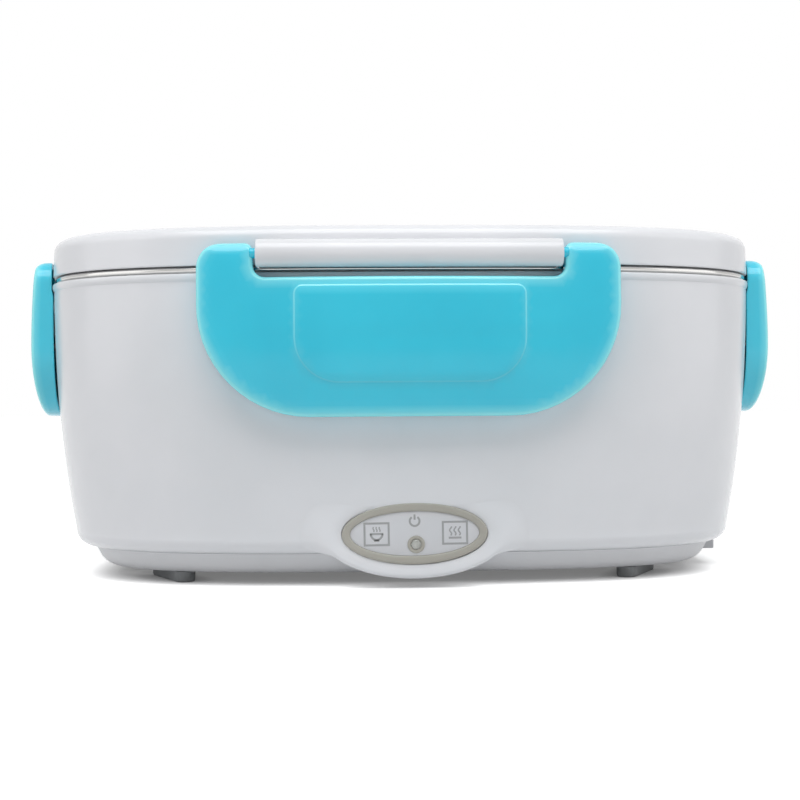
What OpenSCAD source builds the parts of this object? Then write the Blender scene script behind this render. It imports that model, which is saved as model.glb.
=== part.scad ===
// Electric lunch box: a heated casing, a steel food tray and a lift-off lid that four snap latches hold down.
// The front is -Y, the long side runs along X, and the rubber feet stand on Z = 0.

/* [Casing] */
// Width of the casing across its rim
body_w = 231.4; // [210:1:250]
// Depth of the casing across its rim
body_d = 152; // [140:1:175]
// Fullness of the corners in plan, where 2 is an ellipse
plan_power = 3; // [2.6:0.1:3.6]
// Height of the casing's rim above the table
rim_z = 94.2; // [88:1:112]
// Height of the seam between casing and base cover
seam_z = 10.1; // [9.5:0.1:12]
// Wall of the casing
shell_t = 2.4; // [1.8:0.1:3]
// How far the side draws in from rim to seam
side_draft = 7.7; // [4:0.1:9]
// Radius of the casing's lower edge
shell_foot_r = 6; // [4:0.5:7]
// Step of the lip round the rim
lip_step = 0.5; // [0.2:0.1:0.9]
// Height of the lip round the rim
lip_h = 2.4; // [1.5:0.1:4]
// Top of the deck that carries the heater
deck_z = 28.5; // [26:0.5:31]
// Thickness of the deck
deck_t = 2.5; // [2:0.1:3]

/* [Base] */
// Thickness of the base cover
cover_t = 2.4; // [1.8:0.1:3]
// Height of the rubber feet
foot_h = 3.4; // [3:0.1:5]
// Length of one foot
foot_l = 26; // [16:1:28]
// Width of one foot
foot_w = 6.5; // [5:0.5:9]
// Distance of the feet from the middle, to the left and right
foot_x = 74; // [66:1:76]
// Distance of the feet from the middle, to the front and rear
foot_y = 38; // [34:1:38]
// Outer radius of the screw posts
post_r = 3.6; // [3:0.1:4.2]
// Radius of a screw's shank
screw_r = 1.45; // [1.2:0.05:1.6]
// Radius of a screw's head
screw_head_r = 2.8; // [2.4:0.1:3.2]

/* [Panel] */
// Distance of the panel's centre from the middle, to the right
panel_x = 1.8; // [-4:0.2:4]
// Height of the panel's centre
panel_z = 16.2; // [15.5:0.1:18]
// Width of the oval bezel
panel_w = 43.9; // [34:0.1:46]
// Height of the oval bezel
panel_h = 18.3; // [15:0.1:18.5]
// Width of the bezel's band
band_w = 2.5; // [1.8:0.1:3.2]
// Margin of the moulded boss round the bezel
boss_margin = 3.3; // [2:0.1:4]
// Lean of the boss's face
boss_lean = 0; // [-2:0.5:5]
// Depth of the pocket in which the bezel sits
pocket_d = 1.4; // [1:0.1:2]
// Radius of the indicator's light pipe
led_r = 1.5; // [1:0.1:2]

/* [Inlet] */
// Width of the inlet block
inlet_w = 30; // [26:1:34]
// Height of the inlet block
inlet_h = 15.6; // [14:0.2:17]
// Length of the inlet block
inlet_l = 20; // [18:0.5:22]
// Distance between the two contact pins
pin_pitch = 8.6; // [8:0.1:9]
// Radius of a contact pin
pin_r = 1.2; // [1:0.05:1.3]
// How far a contact pin stands out of the block's back
pin_tail = 5; // [4:0.5:7]
// Radius of each half of the socket's recess
recess_r = 4.6; // [4.2:0.1:5]
// Depth of the socket's recess
recess_d = 12; // [10:0.5:13]

/* [Heater] */
// Width of the heater plate
plate_w = 128; // [110:2:136]
// Depth of the heater plate
plate_d = 72; // [60:2:78]
// How far the plate stands above the deck
plate_proud = 0.4; // [0.2:0.1:0.8]
// Length of the heating element
ptc_l = 68; // [50:2:76]
// Width of the heating element
ptc_w = 22; // [16:1:26]
// Thickness of the heating element
ptc_h = 5; // [4:0.5:6]

/* [Tray] */
// Thickness of the steel
tray_t = 0.8; // [0.6:0.1:1]
// Height of the rolled rim, seen as the band under the lid
tray_rim_h = 2; // [1.5:0.1:3]
// How far the rolled rim stays behind the casing's rim
tray_rim_inset = 0.9; // [0.6:0.1:1.4]
// Distance of the tray's wall from the rim line, at the top
tray_top_inset = 4.6; // [4:0.1:5.5]
// Distance of the tray's wall from the rim line, at the floor
tray_foot_inset = 11; // [10.5:0.5:14]
// Radius between the tray's wall and floor
tray_r = 9; // [6:0.5:12]

/* [Lid] */
// Height of the lid over the tray's rim
lid_h = 12.3; // [11:0.1:15]
// Wall of the lid
lid_t = 2.2; // [1.8:0.1:2.4]
// Radius of the lid's top edge
lid_r = 5.5; // [4:0.5:6]
// Rise of the lid's crown
lid_crown = 0.8; // [0.3:0.1:1.5]
// Distance of the steam plug from the middle, to the right
vent_x = 58; // [45:1:65]
// Distance of the steam plug from the middle, to the rear
vent_y = 26; // [15:1:30]
// Radius of the dish round the steam plug
vent_dish_r = 10.5; // [9:0.5:12]
// Radius of the steam plug's stem
vent_stem_r = 3; // [2.5:0.1:3.5]
// Length of the steam plug's stem
vent_stem_l = 8; // [6:0.5:9]

/* [Latches] */
// Width of the front and rear latches
long_latch_w = 124; // [105:1:130]
// Width of the side latches
short_latch_w = 56; // [52:1:66]
// Width of one ear of a latch
ear_w = 16.7; // [14:0.1:18]
// Height of a latch below its pivot
latch_drop = 47.8; // [42:0.5:54]
// Height of the pivots over the lid's lower edge
pivot_up = 2.9; // [2.7:0.1:3.2]
// Radius of the front and rear hinge bars
long_bar_r = 4.1; // [3.8:0.1:4.2]
// Radius of the side hinge bars
short_bar_r = 3.4; // [3.2:0.1:3.8]
// Radius of the pivot studs
stud_r = 1.5; // [1.2:0.05:1.6]
// Radius of the long latches' rounded ears, seen from the side
long_knuckle_r = 3.4; // [3.2:0.1:3.6]
// Radius of the short latches' rounded ears, seen from the side
short_knuckle_r = 2.8; // [2.7:0.1:3.2]
// How far a long latch's face stands out at its fullest
long_bulge = 7.2; // [7:0.1:8.5]
// How far a short latch's face stands out at its fullest
short_bulge = 6.1; // [6:0.1:7.5]
// Radius of the lower part of a latch's face, seen from the side
latch_face_r = 124; // [100:2:160]
// Radius of the upper part of a latch's face, seen from the side
latch_brow_r = 300; // [240:5:400]
// Height of the raised pad on a latch's face
pad_h = 0.4; // [0.3:0.05:0.6]
// Wall of a latch
latch_t = 2; // [1.6:0.1:2.4]
// Height of the catch rib below the pivots
catch_drop = 25.6; // [20:0.5:30]
// How far the catch rib stands outside the rim line
catch_out = 1.6; // [1.2:0.1:2]
// How far the hook grips under the catch rib
undercut = 0.3; // [0.2:0.05:0.6]

/* [Fits] */
// Play between a latch and the casing when it is snapped home
latch_gap = 0.3; // [0.25:0.05:0.5]
// Play round a pivot stud and round the steam plug's stem
pivot_play = 0.06; // [0.03:0.01:0.09]
// Play between pieces that lie side by side
play = 0.3; // [0.2:0.05:0.4]
// How far an eased latch's hook stands clear of the catch rib
hook_clear = 0.1; // [0.06:0.01:0.2]

/* [Hidden] */
$fn = 48;
eps = 0.01;

white = "#eef0f4";
off_white = "#dcdde0";
aqua = "#52cbe2";
steel = "#c9c9c6";
warm_grey = "#a8a59c";
dark = "#3a3a3c";
copper = "#b87a4b";

ring_n = 64;                                   // points round each section of the casing
foot_top = foot_h;                             // the cover's flat underside
cover_flat_inset = 20.5;                       // where the cover's underside starts to curve up
cover_edge_inset = side_draft + shell_foot_r + lip_step + 0.8;
tongue_h = 2.6;                                // lip of the cover inside the casing
deck_under = deck_z - deck_t;
tray_floor_z = deck_z + plate_proud + 0.2;
tray_top = rim_z + tray_rim_h;
lid_z = tray_top + 0.2;
lid_top = lid_z + lid_h;
lid_inset = 0.3;
liner_z = lid_z + 2.4;                         // underside of the liner's flange
liner_t = 1.2;
liner_dip = 2;                                 // how far the liner reaches into the tray
liner_step_inset = tray_top_inset + 4.4;
vent_sink = 2.2;                               // depth of the dish round the steam plug
vent_floor = lid_top - lid_crown - vent_sink;
pivot_z = lid_z + pivot_up;
bar_gap = 1.4;                                 // between a bar's end and the ear beside it
stud_grip = 3.6;                               // how far a stud reaches into the bar
catch_z = pivot_z - catch_drop;                // underside of the catch rib
catch_h = 3.4;
hook_top = catch_z - play;
hook_h = 3.2;
ease_angle = asin((undercut + hook_clear) / (pivot_z - hook_top));
face_z = pivot_z - 22.3;                       // height at which a latch's face is fullest
latch_low = pivot_z - latch_drop;
ear_corner_r = 7.5;
ear_low_r = 3;
low_corner_r = 33;
notch_drop = 7;                                // of the notch between the ears, below the pivots
notch_fillet = 3.5;
pad_top = 9.6;                                 // of the raised pad, below the pivots
pad_low = 37.7;
pad_corner_r = 13;

// What differs between the kinds of latch: width, share of the catch rib, radius of the bow seen from above,
// radius of the ears, bulge, radius of the bar, and half size and turn of the casing's side.
long_kind = [long_latch_w, 0.66, 445, long_knuckle_r, long_bulge, long_bar_r, body_d / 2, 0];
short_kind = [short_latch_w, 0.5, 300, short_knuckle_r, short_bulge, short_bar_r, body_w / 2, 90];
function width_of(kind) = kind[0];
function rib_of(kind) = kind[0] * kind[1];
function bow_of(kind) = kind[2];
function knuckle_of(kind) = kind[3];
function bulge_of(kind) = kind[4];
function bar_r_of(kind) = kind[5];
function pivot_of(kind) = knuckle_of(kind) - lid_inset;
function ear_of(kind) = min(ear_w, width_of(kind) / 4);
function notch_of(kind) = width_of(kind) / 2 - ear_of(kind);
function bar_length(kind) = 2 * (notch_of(kind) - bar_gap);
screw_inset = 30;
inlet_face = body_w / 2 - lip_step - side_draft - 2;
inlet_back = inlet_face - inlet_l;
inlet_low = foot_top + cover_t * 0.75;
inlet_mid = inlet_low + inlet_h / 2 + 0.4;
boss_face = -lip_step - side_draft + 2.6;      // of the boss at the panel's height, from the rim line
boss_back = -cover_edge_inset + 0.8;
boss_w = panel_w + 3.6 * boss_margin;
boss_h = panel_h + 2.5 * boss_margin;
led_z = panel_z - 3.5;
board_back = cover_edge_inset + 5;
screw_l = 11.7;                                // of a cover screw's shank
clamp_screw_l = 3.7;
head_h = 1.8;                                  // of a screw's head
cover_bore = cover_t + 1;                      // depth of the hole that takes a cover screw's head
clamp_t = 1.5;
flange_z = deck_under - 1.5;                   // underside of the heater plate

// --- outlines and lofts ---

function signed_pow(v, p) = sign(v) * pow(abs(v), p);

// A point of the oval with half axes a and b at the angle t.
function oval_point(a, b, power, t) =
    [a * signed_pow(cos(t), 2 / power), b * signed_pow(sin(t), 2 / power)];

function oval(a, b, power, z) =
    [for (i = [0:ring_n - 1]) let (p = oval_point(a, b, power, 360 * i / ring_n)) [p[0], p[1], z]];

function rim_normal(p) =
    let (n = [signed_pow(2 * p[0] / body_w, plan_power - 1) / body_w,
              signed_pow(2 * p[1] / body_d, plan_power - 1) / body_d]) n / norm(n);

// A point of the rim line at the angle t, moved inwards by the inset.
function rim_point(t, inset) =
    let (p = oval_point(body_w / 2, body_d / 2, plan_power, t)) p - inset * rim_normal(p);

function ring(inset, z, k = 1) =
    [for (i = [0:ring_n - 1]) let (p = k * rim_point(360 * i / ring_n, inset)) [p[0], p[1], z]];

function rings(profile) = [for (p = profile) ring(p[0], p[1])];

function arc(c, r, from, to, steps) =
    [for (i = [0:steps]) let (a = from + (to - from) * i / steps) c + r * [cos(a), sin(a)]];

function mirrored(points) = [for (i = [len(points) - 1:-1:0]) [-points[i][0], points[i][1]]];

function band_faces(n, lower, upper) =
    [for (i = [0:n - 1]) let (j = (i + 1) % n) each
        [[lower * n + i, upper * n + i, upper * n + j], [lower * n + i, upper * n + j, lower * n + j]]];

// A closed solid through a stack of rings, with flat ends.
module loft(stack) {
    n = len(stack[0]);
    m = len(stack);
    polyhedron(points = [for (r = stack) each r], faces = concat(
        [[for (i = [0:n - 1]) i]],
        [for (k = [0:m - 2]) each band_faces(n, k, k + 1)],
        [[for (i = [n - 1:-1:0]) (m - 1) * n + i]]));
}

// A closed frame whose cross-section runs once round the rings.
module loft_frame(stack) {
    n = len(stack[0]);
    m = len(stack);
    polyhedron(points = [for (r = stack) each r],
        faces = [for (k = [0:m - 1]) each band_faces(n, k, (k + 1) % m)]);
}

// An upright prism on the rim line, moved inwards by the inset.
module rim_prism(inset, z0, z1) {
    translate([0, 0, z0]) linear_extrude(height = z1 - z0)
        polygon([for (i = [0:ring_n - 1]) rim_point(360 * i / ring_n, inset)]);
}

// Stands its child on one side of the casing: X runs along the rim and Y points outwards from the rim line.
module on_side(angle, half) rotate([0, 0, angle]) translate([0, half, 0]) children();
module on_front() on_side(180, body_d / 2) children();
module on_rear() on_side(0, body_d / 2) children();
module on_left() on_side(90, body_w / 2) children();
module on_right() on_side(-90, body_w / 2) children();

// A profile of outward distance and height, extruded along the rim.
module along_rim(length) rotate([90, 0, 90]) linear_extrude(height = length, center = true) children();

// Repeats its child in the four quarters.
module in_quarters() for (sx = [0, 1], sy = [0, 1])
    mirror([sx, 0, 0]) mirror([0, sy, 0]) children();

module oval_disc(w, h, depth) linear_extrude(height = depth)
    polygon([for (i = [0:47]) [w / 2 * cos(i * 7.5), h / 2 * sin(i * 7.5)]]);

// --- casing ---

function shell_inset(z) = lip_step + side_draft * pow((rim_z - z) / (rim_z - seam_z), 2.2);

wall_zs = [for (f = [0:0.2:1]) deck_z + 4 + f * (rim_z - lip_h - deck_z - 4)];

shell_profile = let (
    zc = seam_z + shell_foot_r,
    ic = shell_inset(zc) + shell_foot_r) concat(
    [for (a = [90:-18:0]) [ic - shell_foot_r * cos(a), zc - shell_foot_r * sin(a)]],
    [[shell_inset(deck_z - 5), deck_z - 5]],
    [for (z = wall_zs) [shell_inset(z), z]],
    [[0, rim_z - lip_h + 0.9], [0, rim_z], [lip_step + shell_t, rim_z]],
    [for (i = [len(wall_zs) - 1:-1:0]) [shell_inset(wall_zs[i]) + shell_t, wall_zs[i]]],
    [[shell_inset(deck_z) + shell_t, deck_z]]);

shell_under = let (zc = seam_z + shell_foot_r) [
    [shell_inset(deck_under) + shell_t, deck_under],
    [shell_inset(zc) + shell_t, zc],
    [cover_edge_inset - 2, seam_z + tongue_h + 0.8],
    [cover_edge_inset + 0.6, seam_z + tongue_h - 1],
    [cover_edge_inset + 0.6, seam_z]];

module panel_place() on_front()
    translate([-panel_x, boss_face, panel_z]) rotate([90 - boss_lean, 0, 180]) children();

module screw_place(z) in_quarters()
    translate([rim_point(12, screw_inset)[0], rim_point(12, screw_inset)[1], z]) children();

module catch_rib(length) along_rim(length) polygon([[-shell_t - lip_step, catch_z],
    [catch_out, catch_z], [catch_out, catch_z + catch_h * 0.3], [-shell_t * 0.6, catch_z + catch_h]]);

module outer_shell() color(white) difference() {
    union() {
        loft_frame(concat(rings(shell_profile),
            [oval(plate_w / 2 + play, plate_d / 2 + play, 5, deck_z),
             oval(plate_w / 2 + play, plate_d / 2 + play, 5, deck_under)],
            rings(shell_under)));
        on_every_side() {
            catch_rib(rib_of(long_kind));
            catch_rib(rib_of(short_kind));
        }
        intersection() {
            panel_place() translate([0, 0, -20]) oval_disc(boss_w, boss_h, 20);
            on_front() translate([-body_w / 4, boss_back, 0]) cube([body_w / 2, 30, deck_under]);
        }
        screw_place(seam_z) cylinder(r = post_r, h = deck_under - seam_z + eps);
    }
    screw_place(seam_z - 1) cylinder(r = screw_r + 0.05, h = screw_l + 1.5);
    panel_place() translate([0, 0, -pocket_d]) oval_disc(panel_w + 0.2, panel_h + 0.2, pocket_d + 5);
    panel_place() translate([0, led_z - panel_z, -30]) cylinder(r = led_r + 0.05, h = 31);
    translate([inlet_back - 1, -inlet_w / 2 - play, seam_z - 1])
        cube([60, inlet_w + 2 * play, inlet_low + inlet_h + play - seam_z + 1]);
}

// --- base ---

cover_profile = [
    [cover_flat_inset + 6, foot_top], [cover_flat_inset, foot_top], [cover_edge_inset + 3, foot_top + 0.7],
    [cover_edge_inset + 1.4, foot_top + 2], [cover_edge_inset + 0.5, seam_z - 2.6],
    [cover_edge_inset, seam_z - 0.3], [cover_edge_inset + 0.8, seam_z - 0.3],
    [cover_edge_inset + 0.8, seam_z + tongue_h - 1.2],
    [cover_edge_inset + 2.6, seam_z + tongue_h - 1.2], [cover_edge_inset + 3.4, seam_z - 1],
    [cover_edge_inset + 5, foot_top + cover_t + 0.8], [cover_flat_inset + 1.5, foot_top + cover_t],
    [cover_flat_inset + 6, foot_top + cover_t]];

module base_cover() color(off_white) difference() {
    union() {
        loft(rings(cover_profile));
        screw_place(foot_top + 1) cylinder(r = post_r + 1.4, h = seam_z - foot_top - 1.2);
    }
    screw_place(foot_top - 1) cylinder(r = screw_head_r + 0.4, h = cover_bore + 1);
    screw_place(foot_top - 1) cylinder(r = screw_r + 0.2, h = seam_z);
    translate([inlet_back - 1, -inlet_w / 2 - play, inlet_low - 0.15]) cube([60, inlet_w + 2 * play, 20]);
    translate([panel_x - 3, -body_d / 2, seam_z - 0.3]) cube([6, body_d / 3, 10]);
}

module rubber_feet() color(warm_grey) in_quarters()
    translate([foot_x, foot_y, 0]) rotate([0, 0, atan2(foot_y, foot_x) + 90]) linear_extrude(height = foot_h)
        polygon(concat(arc([foot_l / 2 - foot_w / 2, 0], foot_w / 2, -90, 90, 12),
            arc([foot_w / 2 - foot_l / 2, 0], foot_w / 2, 90, 270, 12)));

module cover_screws() color(steel) screw_place(foot_top + cover_bore - head_h) {
    cylinder(r = screw_head_r, h = head_h);
    translate([0, 0, head_h - eps]) cylinder(r = screw_r, h = screw_l);
}

// --- heater ---

module heater_plate() color(steel) difference() {
    union() {
        loft([oval(plate_w / 2 - 1, plate_d / 2 - 1, 5, deck_under - eps),
            oval(plate_w / 2, plate_d / 2, 5, deck_under),
            oval(plate_w / 2, plate_d / 2, 5, deck_z + plate_proud - 0.5),
            oval(plate_w / 2 - 0.5, plate_d / 2 - 0.5, 5, deck_z + plate_proud)]);
        loft([oval(plate_w / 2 + 5, plate_d / 2 + 5, 5, flange_z),
            oval(plate_w / 2 + 5, plate_d / 2 + 5, 5, deck_under)]);
    }
    clamp_screw_place(flange_z - 1) cylinder(r = screw_r + 0.05, h = clamp_screw_l);
}

module ptc_heater() color(dark) translate([-ptc_l / 2, -ptc_w / 2, flange_z - ptc_h]) cube([ptc_l, ptc_w, ptc_h]);

clamp_l = 26;
clamp_foot = 6;
clamp_y = ptc_w / 2 + play;
clamp_half = [
    [clamp_y, flange_z - ptc_h], [clamp_y, flange_z], [clamp_y + clamp_t + clamp_foot, flange_z],
    [clamp_y + clamp_t + clamp_foot, flange_z - clamp_t], [clamp_y + clamp_t, flange_z - clamp_t],
    [clamp_y + clamp_t, flange_z - ptc_h - clamp_t]];

module heater_clamp() color(steel) difference() {
    along_rim(clamp_l) polygon(concat(clamp_half, mirrored(clamp_half)));
    clamp_screw_place(flange_z - 5) cylinder(r = screw_r + 0.1, h = 8);
}

module clamp_screw_place(z) for (s = [-1, 1])
    translate([0, s * (clamp_y + clamp_t + clamp_foot / 2), z]) children();

module clamp_screws() color(steel) clamp_screw_place(flange_z - clamp_t - head_h) {
    cylinder(r = screw_head_r - 0.2, h = head_h);
    translate([0, 0, head_h - eps]) cylinder(r = screw_r, h = clamp_screw_l);
}

thermostat_x = ptc_l / 2 + 13;                 // of the limiter, to the left of the middle
thermostat_r = 7;
tab_y = 4;                                     // of the limiter's two tabs
tab_t = 0.8;
tab_l = 6;
fuse_x = ptc_l / 2 + 9;
fuse_l = 12;
fuse_r = 2;

module thermostat() color(dark) translate([-thermostat_x, 0, flange_z - thermostat_r]) {
    cylinder(r = thermostat_r, h = thermostat_r);
    for (s = [-1, 1]) translate([-tab_t / 2, s * tab_y - 1.5, -tab_l]) cube([tab_t, 3, tab_l + eps]);
}

module thermal_fuse() color(white) translate([fuse_x, fuse_l / 2, flange_z - fuse_r - 0.1])
    rotate([90, 0, 0]) cylinder(r = fuse_r, h = fuse_l);

// --- inlet ---

module inlet_place() translate([inlet_face, 0, inlet_mid]) rotate([90, 0, 90]) children();

module inlet_socket() color(off_white) difference() {
    translate([inlet_back, -inlet_w / 2, inlet_low]) cube([inlet_l, inlet_w, inlet_h]);
    inlet_place() translate([0, 0, -recess_d]) {
        for (s = [-1, 1]) translate([s * pin_pitch / 2, 0, 0]) cylinder(r = recess_r, h = recess_d + 1);
        translate([-pin_pitch / 2, -recess_r * 0.8, 0]) cube([pin_pitch, recess_r * 1.6, recess_d + 1]);
    }
    inlet_place() for (s = [-1, 1]) translate([s * pin_pitch / 2, 0, -inlet_l - 1])
        cylinder(r = pin_r + 0.05, h = inlet_l + 1);
}

module inlet_pins() color(steel) inlet_place() for (s = [-1, 1]) translate([s * pin_pitch / 2, 0, 0]) {
    translate([0, 0, -inlet_l - pin_tail]) cylinder(r = pin_r, h = inlet_l + pin_tail - 2 * pin_r);
    translate([0, 0, -2 * pin_r]) cylinder(r1 = pin_r, r2 = pin_r * 0.55, h = 0.8);
}

// --- panel ---

module panel_ring() color(warm_grey) panel_place() difference() {
    translate([0, 0, -pocket_d]) oval_disc(panel_w, panel_h, pocket_d + 0.5);
    translate([0, 0, -pocket_d - 1]) oval_disc(panel_w - 2 * band_w, panel_h - 2 * band_w, pocket_d + 3);
}

module panel_plate() color(off_white) panel_place() difference() {
    translate([0, 0, -pocket_d])
        oval_disc(panel_w - 2 * band_w - 0.1, panel_h - 2 * band_w - 0.1, pocket_d - 0.1);
    translate([0, led_z - panel_z, -pocket_d - 1]) cylinder(r = led_r + 0.05, h = 4);
}

module led_lens() color(white) panel_place() translate([0, led_z - panel_z, 0]) {
    translate([0, 0, -board_back - boss_face - 1.2]) cylinder(r = led_r, h = board_back + boss_face + 1.2);
    intersection() {
        translate([0, 0, -1.6]) sphere(r = 2.2);
        translate([0, 0, -eps]) cylinder(r = led_r, h = 2);
    }
}

module led_board() color("#3f7a4c") on_front()
    translate([-panel_x - 13, -board_back - 4, seam_z - 1]) cube([26, 1.6, 13]);

// --- wiring ---

// Points of a smooth curve through a list of places.
function smooth(ps, steps) = [for (k = [0:len(ps) - 2], i = [0:steps - 1]) let (
    a = ps[max(k - 1, 0)], b = ps[k], c = ps[k + 1], d = ps[min(k + 2, len(ps) - 1)], u = i / steps)
    0.5 * (2 * b + (c - a) * u + (2 * a - 5 * b + 4 * c - d) * u * u + (3 * b - a - 3 * c + d) * u * u * u),
    ps[len(ps) - 1]];

lead_r = 0.9;
lead_gap = 0.1;

// The first and the last stretch of a lead stay straight.
module lead(places) {
    n = len(places);
    ps = concat([places[0]], smooth([for (i = [1:n - 2]) places[i]], 4), [places[n - 1]]);
    last = len(ps) - 1;
    loft([for (i = [0:last]) let (
        d = ps[min(i + 1, last)] - ps[max(i - 1, 0)],
        t = d / norm(d),
        e = cross(t, [0, 0, 1]) / norm(cross(t, [0, 0, 1])),
        f = cross(t, e)) [for (j = [0:5]) ps[i] + lead_r * (cos(60 * j) * e - sin(60 * j) * f)]]);
}

// Each lead stops just short of what it is soldered to.
module wiring() color(copper) {
    pin_x = inlet_back - pin_tail - lead_gap;
    tab_x = -thermostat_x + tab_t / 2 + lead_gap;
    tab_z = flange_z - thermostat_r - tab_l / 2;
    end_x = ptc_l / 2 + lead_gap;
    high = flange_z - ptc_h / 2;
    low = foot_top + cover_t + 4;
    fuse_end = fuse_l / 2 + lead_gap;
    lead([[pin_x, -pin_pitch / 2, inlet_mid], [pin_x - 2, -pin_pitch / 2, inlet_mid], [pin_x - 12, -12, low],
          [10, -26, low], [-30, -18, low], [tab_x + 2, -tab_y, tab_z], [tab_x, -tab_y, tab_z]]);
    lead([[pin_x, pin_pitch / 2, inlet_mid], [pin_x - 2, pin_pitch / 2, inlet_mid], [fuse_x + 16, 12, low + 3],
          [fuse_x + 4, 14, high - 2], [fuse_x, fuse_end + 3, high], [fuse_x, fuse_end, high]]);
    lead([[fuse_x, -fuse_end, high], [fuse_x, -fuse_end - 2, high], [fuse_x - 3, -fuse_end - 3, high],
          [end_x + 2, -ptc_w / 4, high], [end_x, -ptc_w / 4, high]]);
    lead([[tab_x, tab_y, tab_z], [tab_x + 2, tab_y, tab_z], [-end_x - 4, tab_y + 4, (tab_z + high) / 2],
          [-end_x - 2, ptc_w / 4, high], [-end_x, ptc_w / 4, high]]);
}

// --- tray ---

module food_tray() color(steel) loft(rings(concat(
    arc([tray_foot_inset + tray_r, tray_floor_z + tray_r], tray_r, 270, 180, 5),
    [[tray_top_inset, rim_z - 1], [tray_top_inset, rim_z], [tray_rim_inset + 0.3, rim_z],
     [tray_rim_inset, rim_z + 0.5], [tray_rim_inset, tray_top - 0.5], [tray_rim_inset + 0.5, tray_top],
     [tray_top_inset + tray_t - 0.4, tray_top], [tray_top_inset + tray_t, tray_top - 0.6]],
    arc([tray_foot_inset + tray_r, tray_floor_z + tray_r], tray_r - tray_t, 180, 270, 5))));

// --- lid ---

function lid_side(t) = let (
    r = lid_r - t, zc = lid_top - lid_crown - lid_r, ic = lid_inset + 0.3 + lid_r) concat(
    [[lid_inset + t, lid_z], [lid_inset + 0.2 + t, zc - 2]], arc([ic, zc], r, 180, 90, 5));

function crown(t) = let (z = lid_top - t) [
    for (k = [[0.8, 0.35], [0.5, 0.12], [0.22, 0]])
        ring(lid_inset + 0.3 + lid_r, z - k[1] * lid_crown, k[0])];

function reversed(list) = [for (i = [len(list) - 1:-1:0]) list[i]];

module pivot_place(kind) translate([0, pivot_of(kind), pivot_z]) children();

module hinge_bar(kind) {
    root = -lid_inset - lid_t + 0.2;
    pivot_place(kind) rotate([0, 90, 0]) cylinder(r = bar_r_of(kind), h = bar_length(kind), center = true);
    along_rim(bar_length(kind)) polygon([[root, pivot_z - 2.3], [pivot_of(kind), pivot_z - 2.3],
        [pivot_of(kind), pivot_z + bar_r_of(kind) * 0.8], [root, pivot_z + 2.6]]);
}

module bar_bores(kind) pivot_place(kind) for (s = [-1, 1])
    translate([s * (bar_length(kind) / 2 - stud_grip - 0.6), 0, 0]) rotate([0, s * 90, 0])
        cylinder(r = stud_r + pivot_play, h = 10);

module on_every_side() {
    on_front() children(0);
    on_rear() children(0);
    on_left() children(1);
    on_right() children(1);
}

module lid_shell() color(white) difference() {
    union() {
        loft(concat(reversed(crown(lid_t)), reversed(rings(lid_side(lid_t))), rings(lid_side(0)), crown(0)));
        on_every_side() {
            hinge_bar(long_kind);
            hinge_bar(short_kind);
        }
        translate([vent_x, vent_y, vent_floor - 4]) cylinder(r = vent_dish_r + 1.6, h = 5);
    }
    on_every_side() {
        bar_bores(long_kind);
        bar_bores(short_kind);
    }
    translate([vent_x, vent_y, vent_floor]) cylinder(r = vent_dish_r, h = 10);
    translate([vent_x, vent_y, vent_floor - 10]) cylinder(r = vent_stem_r + pivot_play, h = 20);
}

module lid_liner() color(off_white) difference() {
    loft(rings([
        [liner_step_inset + 4, tray_top - liner_dip], [liner_step_inset + 1, tray_top - liner_dip],
        [liner_step_inset, tray_top - liner_dip + 1], [liner_step_inset, liner_z],
        [lid_inset + lid_t + 0.5, liner_z], [lid_inset + lid_t + 0.5, liner_z + liner_t],
        [liner_step_inset + liner_t, liner_z + liner_t],
        [liner_step_inset + liner_t, tray_top - liner_dip + liner_t + 0.6],
        [liner_step_inset + 4, tray_top - liner_dip + liner_t]]));
    translate([vent_x, vent_y, tray_top - liner_dip - 1]) cylinder(r = vent_stem_r - 0.5, h = liner_dip + 2);
}

module lid_seal() color("#f4f4f2") loft_frame(rings([
    [lid_inset + lid_t + 0.9, tray_top + 0.9], [lid_inset + lid_t + 0.9, liner_z - 0.1],
    [liner_step_inset - 0.3, liner_z - 0.1], [liner_step_inset - 0.3, tray_top + 0.1],
    [liner_step_inset - 2.6, tray_top + 0.1]]));

module vent_plug() color(aqua) translate([vent_x, vent_y, vent_floor]) {
    cylinder(r = vent_dish_r - 1, h = 1.6);
    translate([0, 0, -vent_stem_l]) cylinder(r = vent_stem_r, h = vent_stem_l + eps);
    translate([0, 0, 1.6 - eps]) cylinder(r = vent_dish_r - 4, h = 0.6);
}

// --- latches ---

// Outline of a latch as seen from outside, moved inwards by the inset.
function latch_outline(kind, inset = 0) = let (
    half = width_of(kind) / 2, notch = notch_of(kind), high = pivot_z + knuckle_of(kind),
    low_r = min(low_corner_r, half * 0.76),
    right = concat(
        arc([half - low_r, latch_low + low_r], low_r - inset, -90, 0, 12),
        arc([half - ear_corner_r, high - ear_corner_r], ear_corner_r - inset, 0, 90, 8),
        arc([notch + ear_low_r, high - ear_low_r], ear_low_r - inset, 90, 180, 3),
        arc([notch - notch_fillet, pivot_z - notch_drop + notch_fillet], notch_fillet + inset, 0, -90, 5)))
    concat(right, mirrored(right));

// Outline of the raised pad in the middle of a latch.
function pad_outline(kind) = let (
    half = width_of(kind) * 0.27, r = min(pad_corner_r, half * 0.6),
    right = concat(
        arc([half - r, pivot_z - pad_low + r], r, -90, 0, 6),
        arc([half - 2.4, pivot_z - pad_top - 2.4], 2.4, 0, 90, 3)))
    concat(right, mirrored(right));

// Side profile of a latch's face, from its foot up to the round ears.
function face_profile(kind, inset) = let (
    bulge = bulge_of(kind),
    low = asin((latch_low - face_z) / latch_face_r), high = asin((pivot_z - face_z) / latch_brow_r)) concat(
    arc([bulge - latch_face_r, face_z], latch_face_r - inset, low, 0, 6),
    arc([bulge - latch_brow_r, face_z], latch_brow_r - inset, 1, high, 3));

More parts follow.
